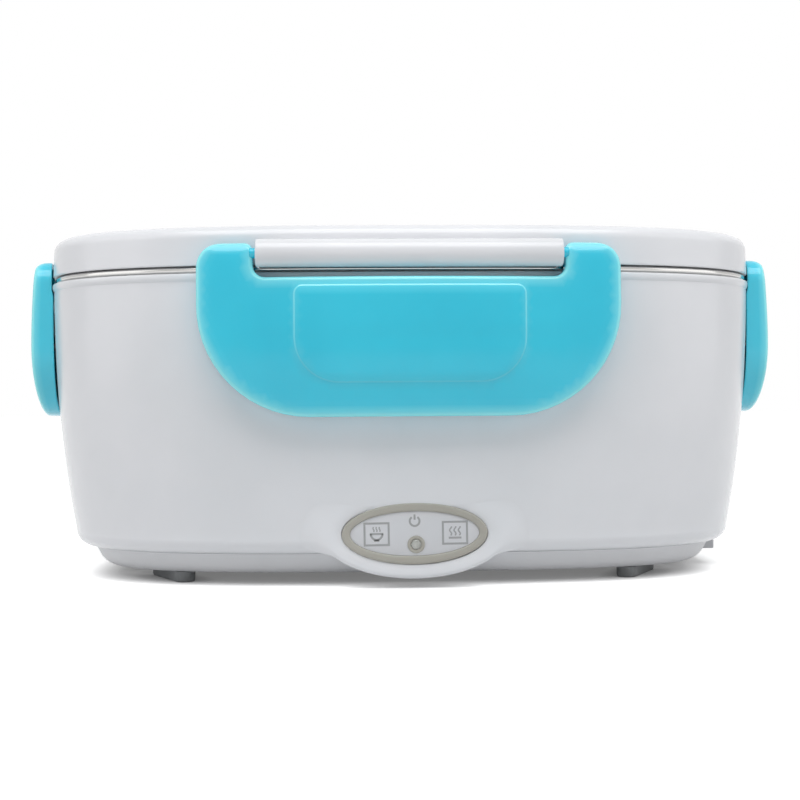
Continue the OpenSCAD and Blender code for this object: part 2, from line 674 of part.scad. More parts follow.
// A profile swept along the bow of a latch.
module bowed(kind) {
    turn = width_of(kind) / bow_of(kind) * 60;
    translate([0, -bow_of(kind), 0]) rotate([0, 0, 90 - turn / 2])
        rotate_extrude(angle = turn, $fn = 180) translate([bow_of(kind), 0]) children();
}

// What lies inside an outline that is seen from outside.
module within(outline) rotate([90, 0, 0]) translate([0, 0, -20]) linear_extrude(height = 40) polygon(outline);

module latch_blank(kind) intersection() {
    within(latch_outline(kind));
    bowed(kind) polygon(concat(face_profile(kind, 0),
        arc([pivot_of(kind), pivot_z], knuckle_of(kind), 10, 180, 10), [[-9, pivot_z], [-9, latch_low]]));
}

module latch_pad(kind) intersection() {
    within(pad_outline(kind));
    bowed(kind) polygon(concat(face_profile(kind, -pad_h), [[0, pivot_z], [0, latch_low]]));
}

module latch_hollow(kind) intersection() {
    within(latch_outline(kind, latch_t));
    bowed(kind) polygon(concat(face_profile(kind, latch_t + 0.2), [[-12, pivot_z], [-12, latch_low]]));
}

// The space inside the rim line and its play, seen from a latch.
module rim_cut(kind) translate([0, -kind[6], 0]) rotate([0, 0, kind[7]])
    rim_prism(-latch_gap, latch_low - 5, pivot_z + 10);

module latch_hook(kind) along_rim(rib_of(kind) - 2) polygon([
    [catch_out - undercut, hook_top], [catch_out - undercut, hook_top - hook_h * 0.4],
    [catch_out + 2, hook_top - hook_h], [bulge_of(kind) - latch_t, hook_top - hook_h],
    [bulge_of(kind) - latch_t, hook_top]]);

// A latch in its eased place, with the hook just outside the catch rib.
module latch(kind) pivot_place(kind) rotate([ease_angle, 0, 0]) {
    translate([0, -pivot_of(kind), -pivot_z]) union() {
        difference() {
            union() {
                latch_blank(kind);
                latch_pad(kind);
            }
            latch_hollow(kind);
            rim_cut(kind);
        }
        latch_hook(kind);
    }
    for (s = [-1, 1]) translate([s * (notch_of(kind) + latch_t / 2), 0, 0]) rotate([0, -s * 90, 0])
        cylinder(r = stud_r, h = latch_t / 2 + bar_gap + stud_grip);
}

module front_latch() color(aqua) on_front() latch(long_kind);
module rear_latch() color(aqua) on_rear() latch(long_kind);
module left_latch() color(aqua) on_left() latch(short_kind);
module right_latch() color(aqua) on_right() latch(short_kind);

outer_shell();
base_cover();
rubber_feet();
cover_screws();
heater_plate();
ptc_heater();
heater_clamp();
clamp_screws();
thermostat();
thermal_fuse();
inlet_socket();
inlet_pins();
panel_plate();
panel_ring();
led_lens();
led_board();
wiring();
food_tray();
lid_shell();
lid_liner();
lid_seal();
vent_plug();
front_latch();
rear_latch();
left_latch();
right_latch();
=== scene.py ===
import math
import bpy
import bmesh
from mathutils import Matrix, Vector
from mathutils.geometry import delaunay_2d_cdt


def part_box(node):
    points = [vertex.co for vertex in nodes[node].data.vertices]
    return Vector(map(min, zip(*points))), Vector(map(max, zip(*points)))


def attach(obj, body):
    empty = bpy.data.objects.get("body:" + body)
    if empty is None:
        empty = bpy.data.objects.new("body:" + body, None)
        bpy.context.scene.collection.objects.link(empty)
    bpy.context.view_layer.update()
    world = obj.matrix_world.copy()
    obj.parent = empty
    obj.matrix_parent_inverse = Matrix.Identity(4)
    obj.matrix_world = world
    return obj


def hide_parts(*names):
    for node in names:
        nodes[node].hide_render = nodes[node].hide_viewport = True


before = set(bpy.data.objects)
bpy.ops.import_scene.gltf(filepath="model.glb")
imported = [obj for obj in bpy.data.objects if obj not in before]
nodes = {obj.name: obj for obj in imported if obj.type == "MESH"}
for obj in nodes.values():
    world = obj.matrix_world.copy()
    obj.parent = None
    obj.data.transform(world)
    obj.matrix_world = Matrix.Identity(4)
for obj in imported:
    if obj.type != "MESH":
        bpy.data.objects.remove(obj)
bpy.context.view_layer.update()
mm = 0.001

# the camera stands where the photo was taken from
photo = {
    "distance": 501.8,      # mm from the middle of the lunch box
    "eyeHeight": 57.3,      # mm over the table, level with the middle of the casing
    "turn": 2.15,           # degrees round to the left
    "roll": 0.38,           # degrees that the camera was tilted
    "pixelsPerFrame": 800.0,
    "focalPixels": 1447.5,
    "middleX": 400.4,       # pixel of the object's middle
    "horizonY": 396.6,
}


def makeCamera():
    data = bpy.data.cameras.new("photoCamera")
    data.sensor_width = 36.0
    data.lens = photo["focalPixels"] / photo["pixelsPerFrame"] * data.sensor_width
    half = photo["pixelsPerFrame"] / 2
    data.shift_x = (half - photo["middleX"]) / photo["pixelsPerFrame"]
    data.shift_y = (photo["horizonY"] - half) / photo["pixelsPerFrame"]
    camera = bpy.data.objects.new("photoCamera", data)
    turn = math.radians(photo["turn"])
    away = photo["distance"] * mm
    camera.location = (-away * math.sin(turn), -away * math.cos(turn), photo["eyeHeight"] * mm)
    camera.rotation_euler = (math.radians(90), math.radians(photo["roll"]), -turn)
    bpy.context.scene.collection.objects.link(camera)
    bpy.context.scene.camera = camera


makeCamera()
print("camera placed")


# colours are written as sRGB hex, and this turns them to linear
def hexColour(text):
    def linear(c):
        return c / 12.92 if c <= 0.04045 else ((c + 0.055) / 1.055) ** 2.4
    return [linear(int(text[i:i + 2], 16) / 255) for i in (1, 3, 5)] + [1.0]


def addNode(tree, kind, inputs=None, output=None, **settings):
    # gives back the new node, or the named output of it
    node = tree.nodes.new(kind)
    for name, value in settings.items():
        setattr(node, name, value)
    for name, value in (inputs or {}).items():
        if isinstance(value, bpy.types.NodeSocket):
            tree.links.new(value, node.inputs[name])
        else:
            node.inputs[name].default_value = value
    return node.outputs[output] if output else node


def startMaterial(name):
    material = bpy.data.materials.new(name)
    material.use_nodes = True
    tree = material.node_tree
    tree.nodes.clear()
    output = addNode(tree, "ShaderNodeOutputMaterial")
    shader = addNode(tree, "ShaderNodeBsdfPrincipled")
    tree.links.new(shader.outputs["BSDF"], output.inputs["Surface"])
    return material, tree, shader, addNode(tree, "ShaderNodeTexCoord", None, "Object")


def patternScale(sizeMm):
    # how many times a pattern of this size in millimetres fits in a metre
    return 1 / (sizeMm * mm)


noiseSpan = {"From Min": 0.3, "From Max": 0.7}    # nearly all of the noise's values lie between these


def cloudedColour(tree, shader, where, sizeMm, shades, share=1.0, detail=3.0):
    # one shade drifts into the other in clouds of this size, share says how far
    cloud = addNode(tree, "ShaderNodeTexNoise",
                    {"Vector": where, "Scale": patternScale(sizeMm), "Detail": detail}, "Fac")
    cloud = addNode(tree, "ShaderNodeMapRange", {"Value": cloud, **noiseSpan, "To Max": share}, "Result")
    colour = addNode(tree, "ShaderNodeMix", {"Factor": cloud, "A": shades[0], "B": shades[1]},
                     "Result", data_type="RGBA")
    tree.links.new(colour, shader.inputs["Base Color"])
    return colour


def patchyGloss(tree, shader, where, sizeMm, roughness, detail=4.0):
    # the gloss wanders between two values, as it does on a handled surface
    patches = addNode(tree, "ShaderNodeTexNoise",
                      {"Vector": where, "Scale": patternScale(sizeMm), "Detail": detail}, "Fac")
    low, high = roughness
    gloss = addNode(tree, "ShaderNodeMapRange",
                    {"Value": patches, **noiseSpan, "To Min": low, "To Max": high}, "Result")
    tree.links.new(gloss, shader.inputs["Roughness"])


def surfaceGrain(tree, shader, where, sizeMm, strength, depthMm, detail=2.0):
    grain = addNode(tree, "ShaderNodeTexNoise",
                    {"Vector": where, "Scale": patternScale(sizeMm), "Detail": detail}, "Fac")
    bump = addNode(tree, "ShaderNodeBump",
                   {"Height": grain, "Strength": strength, "Distance": depthMm * mm}, "Normal")
    tree.links.new(bump, shader.inputs["Normal"])


def milkyDepth(shader, weight, radius, sizeMm):
    # light goes a little way into the plastic and comes out again, softer
    shader.inputs["Subsurface Weight"].default_value = weight
    shader.inputs["Subsurface Radius"].default_value = radius
    shader.inputs["Subsurface Scale"].default_value = sizeMm * mm


plasticIor = 1.49    # of polypropylene and acrylic, and near enough for the other plastics

# materials
mouldedPlastics = {
    # glossy polypropylene from a polished mould: milky depth, a soft clear gleam, faint flow clouds
    "polypropyleneGlossWhite": {"colour": "#EDEEF2", "cloud": "#E6E8EC", "roughness": (0.17, 0.24),
                                "grainMm": 0.9, "bump": 0.02, "milk": 0.12, "milkMm": 2.0},
    # satin polypropylene of the cover, a shade greyer, from an etched mould
    "polypropyleneSatinOffWhite": {"colour": "#E4E5E8", "cloud": "#DCDDE0", "roughness": (0.38, 0.48),
                                   "grainMm": 0.6, "bump": 0.06, "milk": 0.06, "milkMm": 1.0},
    # light grey film of the panel, screen printed and slightly grained
    "polycarbonateFilmGrey": {"colour": "#DCDDE1", "cloud": "#D5D6DA", "roughness": (0.32, 0.42),
                              "grainMm": 0.35, "bump": 0.05, "milk": 0.0, "milkMm": 1.0},
    # warm grey ABS of the bezel, moulded with a satin face
    "absSatinWarmGrey": {"colour": "#B2AFA6", "cloud": "#A9A69D", "roughness": (0.30, 0.40),
                         "grainMm": 0.4, "bump": 0.05, "milk": 0.0, "milkMm": 1.0},
    # ink screen printed on the film, matt mid grey
    "screenInkGrey": {"colour": "#A9AAAB", "cloud": "#A2A3A5", "roughness": (0.42, 0.5),
                      "grainMm": 0.3, "bump": 0.02, "milk": 0.0, "milkMm": 1.0},
    # grey rubber of the feet, matt, with a fine mould grain
    "rubberMouldedGrey": {"colour": "#8E9092", "cloud": "#838587", "roughness": (0.6, 0.72),
                          "grainMm": 0.5, "bump": 0.12, "milk": 0.0, "milkMm": 1.0},
    # translucent white silicone of the seal, matt and soft
    "siliconeMattWhite": {"colour": "#EDEDEA", "cloud": "#E4E4E0", "roughness": (0.45, 0.55),
                          "grainMm": 0.7, "bump": 0.03, "milk": 0.25, "milkMm": 2.0},
    # brown-black phenolic of the heater's limiter and element, pressed and dull
    "phenolicPressedDark": {"colour": "#35312E", "cloud": "#2B2826", "roughness": (0.5, 0.62),
                            "grainMm": 0.6, "bump": 0.1, "milk": 0.0, "milkMm": 1.0},
    # red silicone insulation of the leads, extruded
    "siliconeExtrudedRed": {"colour": "#A8322B", "cloud": "#962A24", "roughness": (0.4, 0.5),
                            "grainMm": 0.5, "bump": 0.03, "milk": 0.05, "milkMm": 1.0},
    # solder-resist lacquer over glass laminate
    "laminateLacqueredGreen": {"colour": "#2F6B3F", "cloud": "#285D37", "roughness": (0.25, 0.35),
                               "grainMm": 0.8, "bump": 0.04, "milk": 0.0, "milkMm": 1.0},
}


mouldFlow = {"cloudMm": 38.0, "glossMm": 9.0, "grainDeepMm": 0.05}


def mouldedPlastic(name, spec):
    material, tree, shader, where = startMaterial(name)
    shades = hexColour(spec["colour"]), hexColour(spec["cloud"])
    cloudedColour(tree, shader, where, mouldFlow["cloudMm"], shades)
    patchyGloss(tree, shader, where, mouldFlow["glossMm"], spec["roughness"])
    surfaceGrain(tree, shader, where, spec["grainMm"], spec["bump"], mouldFlow["grainDeepMm"])
    shader.inputs["IOR"].default_value = plasticIor
    milkyDepth(shader, spec["milk"], (1.0, 1.0, 1.0), spec["milkMm"])
    return material


latchPlastic = {
    "body": "#2CD2EE", "deep": "#1EC4E2",    # the face and its clouds
    # the next colour is a painted highlight for the thin rounded edges
    "edgeHighlight": "#94F5FE",                       # thin rounded edges, where light gathers
    "cloudMm": 30.0, "cloudShare": 0.55, "glossMm": 7.0, "roughness": (0.08, 0.14),
    "grainMm": 1.2, "bump": 0.02, "milk": 0.1, "milkTint": (0.35, 0.9, 1.0), "milkMm": 1.2,
}


def polypropyleneSatinAqua():
    # satin polypropylene, slightly see-through; a painted highlight lightens its thin rounded edges and the
    # pad's line
    spec = latchPlastic
    material, tree, shader, where = startMaterial("polypropyleneSatinAqua")
    shades = hexColour(spec["body"]), hexColour(spec["deep"])
    face = cloudedColour(tree, shader, where, spec["cloudMm"], shades, spec["cloudShare"])
    # painted highlight, stored per point on the latches, lightens the colour here
    edge = addNode(tree, "ShaderNodeAttribute", None, "Fac", attribute_name="paintedEdgeHighlight")
    colour = addNode(tree, "ShaderNodeMix", {"Factor": edge, "A": face, "B": hexColour(spec["edgeHighlight"])},
                     "Result", data_type="RGBA")
    tree.links.new(colour, shader.inputs["Base Color"])
    patchyGloss(tree, shader, where, spec["glossMm"], spec["roughness"])
    surfaceGrain(tree, shader, where, spec["grainMm"], spec["bump"], 0.06)
    shader.inputs["IOR"].default_value = plasticIor
    milkyDepth(shader, spec["milk"], spec["milkTint"], spec["milkMm"])
    return material


sheetMetals = {
    # 18/8 stainless steel, drawn and polished: a bright mirror with faint drawing lines
    "stainlessPolished": {"colour": "#BFBEBC", "roughness": (0.09, 0.15), "lineMm": 0.25,
                          "stretch": (0.02, 0.02, 1.0), "bump": 0.05},
    # aluminium plate, brushed along its length, softly bright
    "aluminiumBrushed": {"colour": "#D6D7D9", "roughness": (0.3, 0.42), "lineMm": 0.3,
                         "stretch": (0.03, 1.0, 1.0), "bump": 0.12},
    # zinc-plated steel of the screws and the strap, a little dull
    "steelZincPlated": {"colour": "#B9BBBE", "roughness": (0.32, 0.45), "lineMm": 0.5,
                        "stretch": (1.0, 1.0, 1.0), "bump": 0.06},
    # nickel on turned brass pins
    "brassNickelPlated": {"colour": "#D3CBB4", "roughness": (0.2, 0.3), "lineMm": 0.2,
                          "stretch": (0.2, 1.0, 1.0), "bump": 0.04},
}


metalTint = {"cloudMm": 25.0, "share": 0.6, "darker": 0.93, "lineDeepMm": 0.04}


def sheetMetal(name, spec):
    material, tree, shader, where = startMaterial(name)
    base = hexColour(spec["colour"])
    darker = [c * metalTint["darker"] for c in base[:3]] + [1.0]
    cloudedColour(tree, shader, where, metalTint["cloudMm"], (base, darker), metalTint["share"])
    # drawing or brushing lines: a pattern stretched along the work
    lines = addNode(tree, "ShaderNodeMapping", {"Vector": where, "Scale": spec["stretch"]}, "Vector")
    patchyGloss(tree, shader, lines, spec["lineMm"], spec["roughness"], 3.0)
    surfaceGrain(tree, shader, lines, spec["lineMm"], spec["bump"], metalTint["lineDeepMm"], 3.0)
    shader.inputs["Metallic"].default_value = 1.0
    return material


def acrylicPolishedClear():
    # the indicator's lens: clear, turned smooth, a little cloudy inside
    material, tree, shader, where = startMaterial("acrylicPolishedClear")
    cloudedColour(tree, shader, where, 1.5, (hexColour("#D9DAD4"), hexColour("#C4C5BE")), detail=2.0)
    patchyGloss(tree, shader, where, 0.8, (0.06, 0.14), 2.0)
    shader.inputs["IOR"].default_value = plasticIor
    shader.inputs["Transmission Weight"].default_value = 0.35
    return material


finish = {name: mouldedPlastic(name, spec) for name, spec in mouldedPlastics.items()}
finish.update({name: sheetMetal(name, spec) for name, spec in sheetMetals.items()})
finish["polypropyleneSatinAqua"] = polypropyleneSatinAqua()
finish["acrylicPolishedClear"] = acrylicPolishedClear()
print("materials made:", len(finish))

# outline and lofts, in millimetres
casing = {
    "width": 231.4, "depth": 152.0, "power": 3.0, "rim": 94.2, "seam": 10.1, "wall": 2.4,
    "draft": 7.7, "draftPower": 2.2, "footRadius": 5.0, "lipStep": 0.5, "lipHeight": 2.4,
    "coverReveal": 0.9,         # the cover's edge stands this far in from the foot
    "deck": 28.5, "deckThick": 2.5, "ringPoints": 240,
}


def signedPow(value, power):
    return math.copysign(abs(value) ** power, value)


def ovalPoint(a, b, power, angle):
    return Vector((a * signedPow(math.cos(angle), 2 / power), b * signedPow(math.sin(angle), 2 / power)))


def rimPoint(angle, inset):
    a, b, power = casing["width"] / 2, casing["depth"] / 2, casing["power"]
    p = ovalPoint(a, b, power, angle)
    n = Vector((signedPow(p.x / a, power - 1) / a, signedPow(p.y / b, power - 1) / b)).normalized()
    return p - inset * n


def ringAngles():
    # equal steps of the oval's own angle: the points stand closer at its corners than on its flat sides
    n = casing["ringPoints"]
    return [2 * math.pi * i / n for i in range(n)]


def ring(inset, z):
    return [Vector((*rimPoint(a, inset), z)) for a in ringAngles()]


def shrunkRing(points, share, z):
    return [Vector((p.x * share, p.y * share, z)) for p in points]


def ovalRing(a, b, power, z):
    return [Vector((*ovalPoint(a, b, power, t), z)) for t in ringAngles()]


def arc(cx, cy, radius, start, end, steps):
    angles = [math.radians(start + (end - start) * i / steps) for i in range(steps + 1)]
    return [(cx + radius * math.cos(a), cy + radius * math.sin(a)) for a in angles]


class Shape:
    def __init__(self):
        self.mesh = bmesh.new()
        # a painted highlight per point, set only on the latches, which lightens their colour
        self.paintedLight = self.mesh.verts.layers.float.new("paintedEdgeHighlight")

    def addRings(self, rings, closed=False, caps=(False, False), paintedLight=None):
        rows = []
        for k, points in enumerate(rings):
            row = [self.mesh.verts.new(p) for p in points]
            # each ring can carry its own painted highlight
            if paintedLight:
                for v in row:
                    v[self.paintedLight] = paintedLight[k]
            rows.append(row)
        n = len(rows[0])
        pairs = list(zip(rows, rows[1:])) + ([(rows[-1], rows[0])] if closed else [])
        for low, high in pairs:
            for i in range(n):
                j = (i + 1) % n
                self.mesh.faces.new((low[i], low[j], high[j], high[i]))
        if caps[0]:
            self.mesh.faces.new(list(reversed(rows[0])))
        if caps[1]:
            self.mesh.faces.new(rows[-1])

    def addTube(self, start, end, radius, chamfer=0.25, sides=40):
        axis = (end - start).normalized()
        across = axis.orthogonal().normalized()
        up = axis.cross(across)
        length = (end - start).length
        near = [(0, radius - chamfer), (chamfer * 0.3, radius - chamfer * 0.3), (chamfer, radius)]
        stations = near + [(length - d, r) for d, r in reversed(near)]
        turns = [2 * math.pi * i / sides for i in range(sides)]
        self.addRings([[start + axis * d + r * (math.cos(t) * across + math.sin(t) * up) for t in turns]
                       for d, r in stations], caps=(True, True))

    def addBox(self, low, high):
        corners = bmesh.ops.create_cube(self.mesh, size=1.0)["verts"]
        bmesh.ops.scale(self.mesh, vec=high - low, verts=corners)
        bmesh.ops.translate(self.mesh, vec=(low + high) / 2, verts=corners)

    def faceOutwards(self):
        # recalculated normals can leave a thin bowed island inside out, so each is checked by its volume
        bmesh.ops.recalc_face_normals(self.mesh, faces=self.mesh.faces)
        self.mesh.normal_update()
        waiting = set(self.mesh.faces)
        while waiting:
            island, border = [], [waiting.pop()]
            while border:
                face = border.pop()
                island.append(face)
                near = {f for edge in face.edges for f in edge.link_faces if f in waiting}
                waiting -= near
                border.extend(near)
            middle = sum((f.calc_center_median() for f in island), Vector()) / len(island)
            volume = sum(f.calc_area() * f.normal.dot(f.calc_center_median() - middle) for f in island)
            if volume < 0:
                bmesh.ops.reverse_faces(self.mesh, faces=island)

    def toObject(self, name, place=None):
        # millimetres turn to metres here
        if place:
            self.mesh.transform(place)
        self.mesh.transform(Matrix.Scale(mm, 4))
        self.faceOutwards()
        data = bpy.data.meshes.new(name)
        self.mesh.to_mesh(data)
        self.mesh.free()
        made = bpy.data.objects.new(name, data)
        bpy.context.scene.collection.objects.link(made)
        return made

    def addPiece(self, name, body, material, replaced=(), place=None, sharp=32):
        piece = self.toObject(name, place)
        data = piece.data
        data.polygons.foreach_set("use_smooth", [True] * len(data.polygons))
        data.set_sharp_from_angle(angle=math.radians(sharp))
        data.materials.append(finish[material])
        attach(piece, body)
        if replaced:
            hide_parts(*replaced)
        return piece


def cutWith(piece, shape):
    cutter = shape.toObject("cutter")
    carve = piece.modifiers.new("cut", "BOOLEAN")
    carve.operation = "DIFFERENCE"
    carve.solver = "EXACT"
    carve.object = cutter
    bpy.context.view_layer.objects.active = piece
    bpy.ops.object.modifier_apply(modifier=carve.name)
    bpy.data.objects.remove(cutter, do_unlink=True)


# casing
def shellInset(z):
    fall = (casing["rim"] - z) / (casing["rim"] - casing["seam"])
    return casing["lipStep"] + casing["draft"] * max(fall, 0) ** casing["draftPower"]


footTop = casing["seam"] + casing["footRadius"]
coverEdge = shellInset(footTop) + casing["footRadius"] + casing["coverReveal"]


def shellProfile():
    # from the foot up the outside, over the lip and down the inside to the deck, as (inset, height)
    c = casing
    inside = c["lipStep"] + c["wall"]
    footInset = shellInset(footTop) + c["footRadius"]
    outer = [(footInset, c["seam"])] + arc(footInset, footTop, c["footRadius"], 265, 180, 17)
    top = c["rim"] - c["lipHeight"]
    steps = 36
    heights = [footTop + (top - footTop) * i / steps for i in range(1, steps + 1)]
    wall = [(shellInset(z), z) for z in heights]
    lip = [(0.26, top + 0.35), (0.06, top + 0.8), (0.0, top + 1.3), (0.0, c["rim"] - 0.5),
           (0.15, c["rim"] - 0.15), (0.5, c["rim"]), (inside - 0.4, c["rim"]), (inside, c["rim"] - 0.4)]
    inner = [(shellInset(z) + c["wall"], z) for z in (top - 4, 80, 70, 60, 50, 40, 32)]
    deckInset = shellInset(c["deck"]) + c["wall"]
    deck = [(deckInset + 0.3, c["deck"] + 1.0), (deckInset + 1.5, c["deck"])]
    return outer + wall + lip + inner + deck


heaterPlate = {"width": 128.0, "depth": 72.0, "power": 5.0, "gap": 0.3}
inletWindow = {"back": 84.5, "front": 130.0, "halfWidth": 15.3, "low": 9.1, "high": 21.1}


def makeCasing():
    c = casing
    rings = [ring(i, z) for i, z in shellProfile()]
    # the deck has an opening for the heater's plate; under it the wall goes down to the seam
    a, b = [heaterPlate[side] / 2 + heaterPlate["gap"] for side in ("width", "depth")]
    rings += [ovalRing(a, b, heaterPlate["power"], z) for z in (c["deck"], c["deck"] - c["deckThick"])]
    rings += [ring(i, z) for i, z in [
        (shellInset(26) + c["wall"], 26), (shellInset(footTop) + c["wall"], footTop),
        (coverEdge - 2, c["seam"] + 3.4), (coverEdge + 0.6, c["seam"] + 1.6), (coverEdge + 0.6, c["seam"])]]
    shape = Shape()
    shape.addRings(rings, closed=True)
    piece = shape.addPiece("casingShell", "base", "polypropyleneGlossWhite", ["outer_shell"])
    w = inletWindow
    window = Shape()
    window.addBox(Vector((w["back"], -w["halfWidth"], w["low"])),
                  Vector((w["front"], w["halfWidth"], w["high"])))
    cutWith(piece, window)


def sideBow(across, a, b):
    # how far the rim line falls back from its foremost point, along a side with these half lengths
    power = casing["power"]
    return b * (1 - (1 - (abs(across) / a) ** power) ** (1 / power))


def shellSurface(x, z):
    # how far the casing's outer face lies behind the rim line's foremost point, at a place on the front
    if z >= footTop:
        depth = shellInset(z)
    else:
        down = min(1.0, (footTop - z) / casing["footRadius"])
        depth = shellInset(footTop) + casing["footRadius"] * (1 - math.sqrt(1 - down * down))
    return depth + sideBow(x, casing["width"] / 2, casing["depth"] / 2)


makeCasing()
print("casing made")

# panel, front low
panel = {
    "x": 1.4, "z": 16.45, "width": 43.6, "height": 18.3, "band": 2.5, "face": -5.6,
    "bossWidth": 55.78, "bossHeight": 27.2, "bossEdge": 1.5, "bossFlare": 7.0, "bossDeep": 8.0,
    "pocket": 1.4, "proud": 0.5, "ledX": 0.35, "ledDrop": 3.25, "sides": 160, "turn": 0.7,
}


def panelPlace(turn=0.0):
    # X to the right, Y up the face, Z out of it
    upright = Matrix.Rotation(math.radians(90), 4, "X") @ Matrix.Rotation(math.radians(turn), 4, "Z")
    return Matrix.Translation((panel["x"], -casing["depth"] / 2 - panel["face"], panel["z"])) @ upright


def ellipseRing(w, h, z):
    turns = [2 * math.pi * i / panel["sides"] for i in range(panel["sides"])]
    return [Vector((w / 2 * math.cos(t), h / 2 * math.sin(t), z)) for t in turns]


def smoothStep(value, low, high):
    t = max(0.0, min(1.0, (value - low) / (high - low)))
    return t * t * (3 - 2 * t)


def makeBoss():
    # the boss swells out of the wall without a line, and stands free with a round edge under the seam
    w, h = panel["bossWidth"], panel["bossHeight"]
    pw, ph = panel["width"] + 0.2, panel["height"] + 0.2
    r, flare, n = panel["bossEdge"], panel["bossFlare"], panel["sides"]
    steps = 14
    pocket = ((0, -panel["pocket"]), (0, -0.2), (0.4, 0))
    rings = [ellipseRing(pw + wider, ph + wider, z) for wider, z in pocket]
    for k in range(steps + 1):
        t = k / steps
        points = []
        for i in range(n):
            angle = 2 * math.pi * i / n
            ux, uy = math.cos(angle), math.sin(angle)
            # held: 1 where the edge runs into the wall, 0 where it stands free
            held = smoothStep(panel["z"] + h / 2 * uy, casing["seam"] - 1.0, casing["seam"] + 5.0)
            grow = -r * (1 - math.sin(math.pi / 2 * t)) * (1 - held) + (flare * t - r * (1 - t)) * held
            x, y = (w / 2 + grow) * ux, (h / 2 + grow) * uy
            wall = -shellSurface(x + panel["x"], y + panel["z"]) - panel["face"] - 0.04
            free = -r * (1 - math.cos(math.pi / 2 * t))
            points.append(Vector((x, y, free * (1 - held) + wall * smoothStep(t, 0, 1) * held)))
        rings.append(points)
    rings.append([Vector((p.x, p.y, -panel["bossDeep"])) for p in rings[-1]])
    shape = Shape()
    shape.addRings(rings, caps=(True, True))
    shape.addPiece("panelBoss", "base", "polypropyleneGlossWhite",
                   place=panelPlace(), sharp=50)


def makeBezel():
    # a low rounded bead
    w, h, band, top = panel["width"], panel["height"], panel["band"], panel["proud"]
    section = [(0, -1.3), (0, top - 0.45), (0.1, top - 0.25), (0.35, top - 0.08), (0.8, top),
               (band - 0.8, top), (band - 0.35, top - 0.1), (band - 0.1, top - 0.3), (band, top - 0.5),
               (band, -1.3)]
    shape = Shape()
    shape.addRings([ellipseRing(w - 2 * i, h - 2 * i, z) for i, z in section], closed=True)
    shape.addPiece("panelBezel", "base", "absSatinWarmGrey", ["panel_ring"],
                   place=panelPlace(panel["turn"]))


def makeFilm():
    w, h = panel["width"] - 2 * panel["band"] - 0.1, panel["height"] - 2 * panel["band"] - 0.1
    section = ((0, -1.3), (0, -0.12), (0.1, -0.1))
    shape = Shape()
    shape.addRings([ellipseRing(w - narrower, h - narrower, z) for narrower, z in section],
                   caps=(True, True))
    shape.addPiece("panelFilm", "base", "polycarbonateFilmGrey", ["panel_plate"],
                   place=panelPlace(panel["turn"]))


def roundRing(r, z, cx=0.0, cy=0.0, n=48):
    turns = [2 * math.pi * i / n for i in range(n)]
    return [Vector((cx + r * math.cos(t), cy + r * math.sin(t), z)) for t in turns]


def makeIndicator():
    x, y = panel["ledX"], -panel["ledDrop"]
    collar = Shape()
    section = [(2.6, -0.12), (2.6, 0.1), (2.45, 0.25), (2.0, 0.28), (1.75, 0.15), (1.55, 0.0), (1.5, -0.12)]
    collar.addRings([roundRing(r, z, x, y) for r, z in section])
    collar.addPiece("indicatorCollar", "base", "absSatinWarmGrey",
                    place=panelPlace(panel["turn"]))
    lens = Shape()
    dome = [(1.45, -12.0)] + [(r, z * 0.6 / 1.45) for r, z in arc(0, 0, 1.45, 0, 75, 5)]
    lens.addRings([roundRing(r, z, x, y) for r, z in dome], caps=(True, True))
    lens.addPiece("indicatorLens", "base", "acrylicPolishedClear", ["led_lens"],
                  place=panelPlace())


signs = {
    "stroke": 0.6, "airStroke": 0.42, "thinAirStroke": 0.34, "height": 0.03,
    "squareWide": 7.2, "squareHigh": 6.5, "left": -11.4, "right": 12.0, "y": 0.0, "powerY": 3.7,
}


def addStroke(shape, points, closed=False, width=None):
    # a flat printed line through the points, with its own thickness
    half = (width or signs["stroke"]) / 2
    n = len(points)
    inner, outer = [], []
    for i, p in enumerate(points):
        before = points[i - 1] if (i or closed) else points[i]
        after = points[(i + 1) % n] if (i < n - 1 or closed) else points[i]
        d1 = (p - before).normalized() if (p - before).length else (after - p).normalized()
        d2 = (after - p).normalized() if (after - p).length else d1
        t = (d1 + d2).normalized()
        normal = Vector((-t.y, t.x))
        reach = half / max(0.5, normal.dot(Vector((-d2.y, d2.x))))
        inner.append(p - normal * reach)
        outer.append(p + normal * reach)
    z0, z1 = -0.1, -0.1 + signs["height"]
    rows = [[shape.mesh.verts.new((q.x, q.y, z)) for q in side] for side, z in
            ((inner, z0), (inner, z1), (outer, z1), (outer, z0))]
    last = n if closed else n - 1
    for a, b in ((0, 1), (1, 2), (2, 3), (3, 0)):
        for i in range(last):
            j = (i + 1) % n
            shape.mesh.faces.new((rows[a][i], rows[a][j], rows[b][j], rows[b][i]))
    if not closed:
        shape.mesh.faces.new([rows[k][0] for k in range(4)])
        shape.mesh.faces.new([rows[k][-1] for k in (3, 2, 1, 0)])


def curve(cx, cy, r, start, end, steps):
    return [Vector(p) for p in arc(cx, cy, r, start, end, steps)]


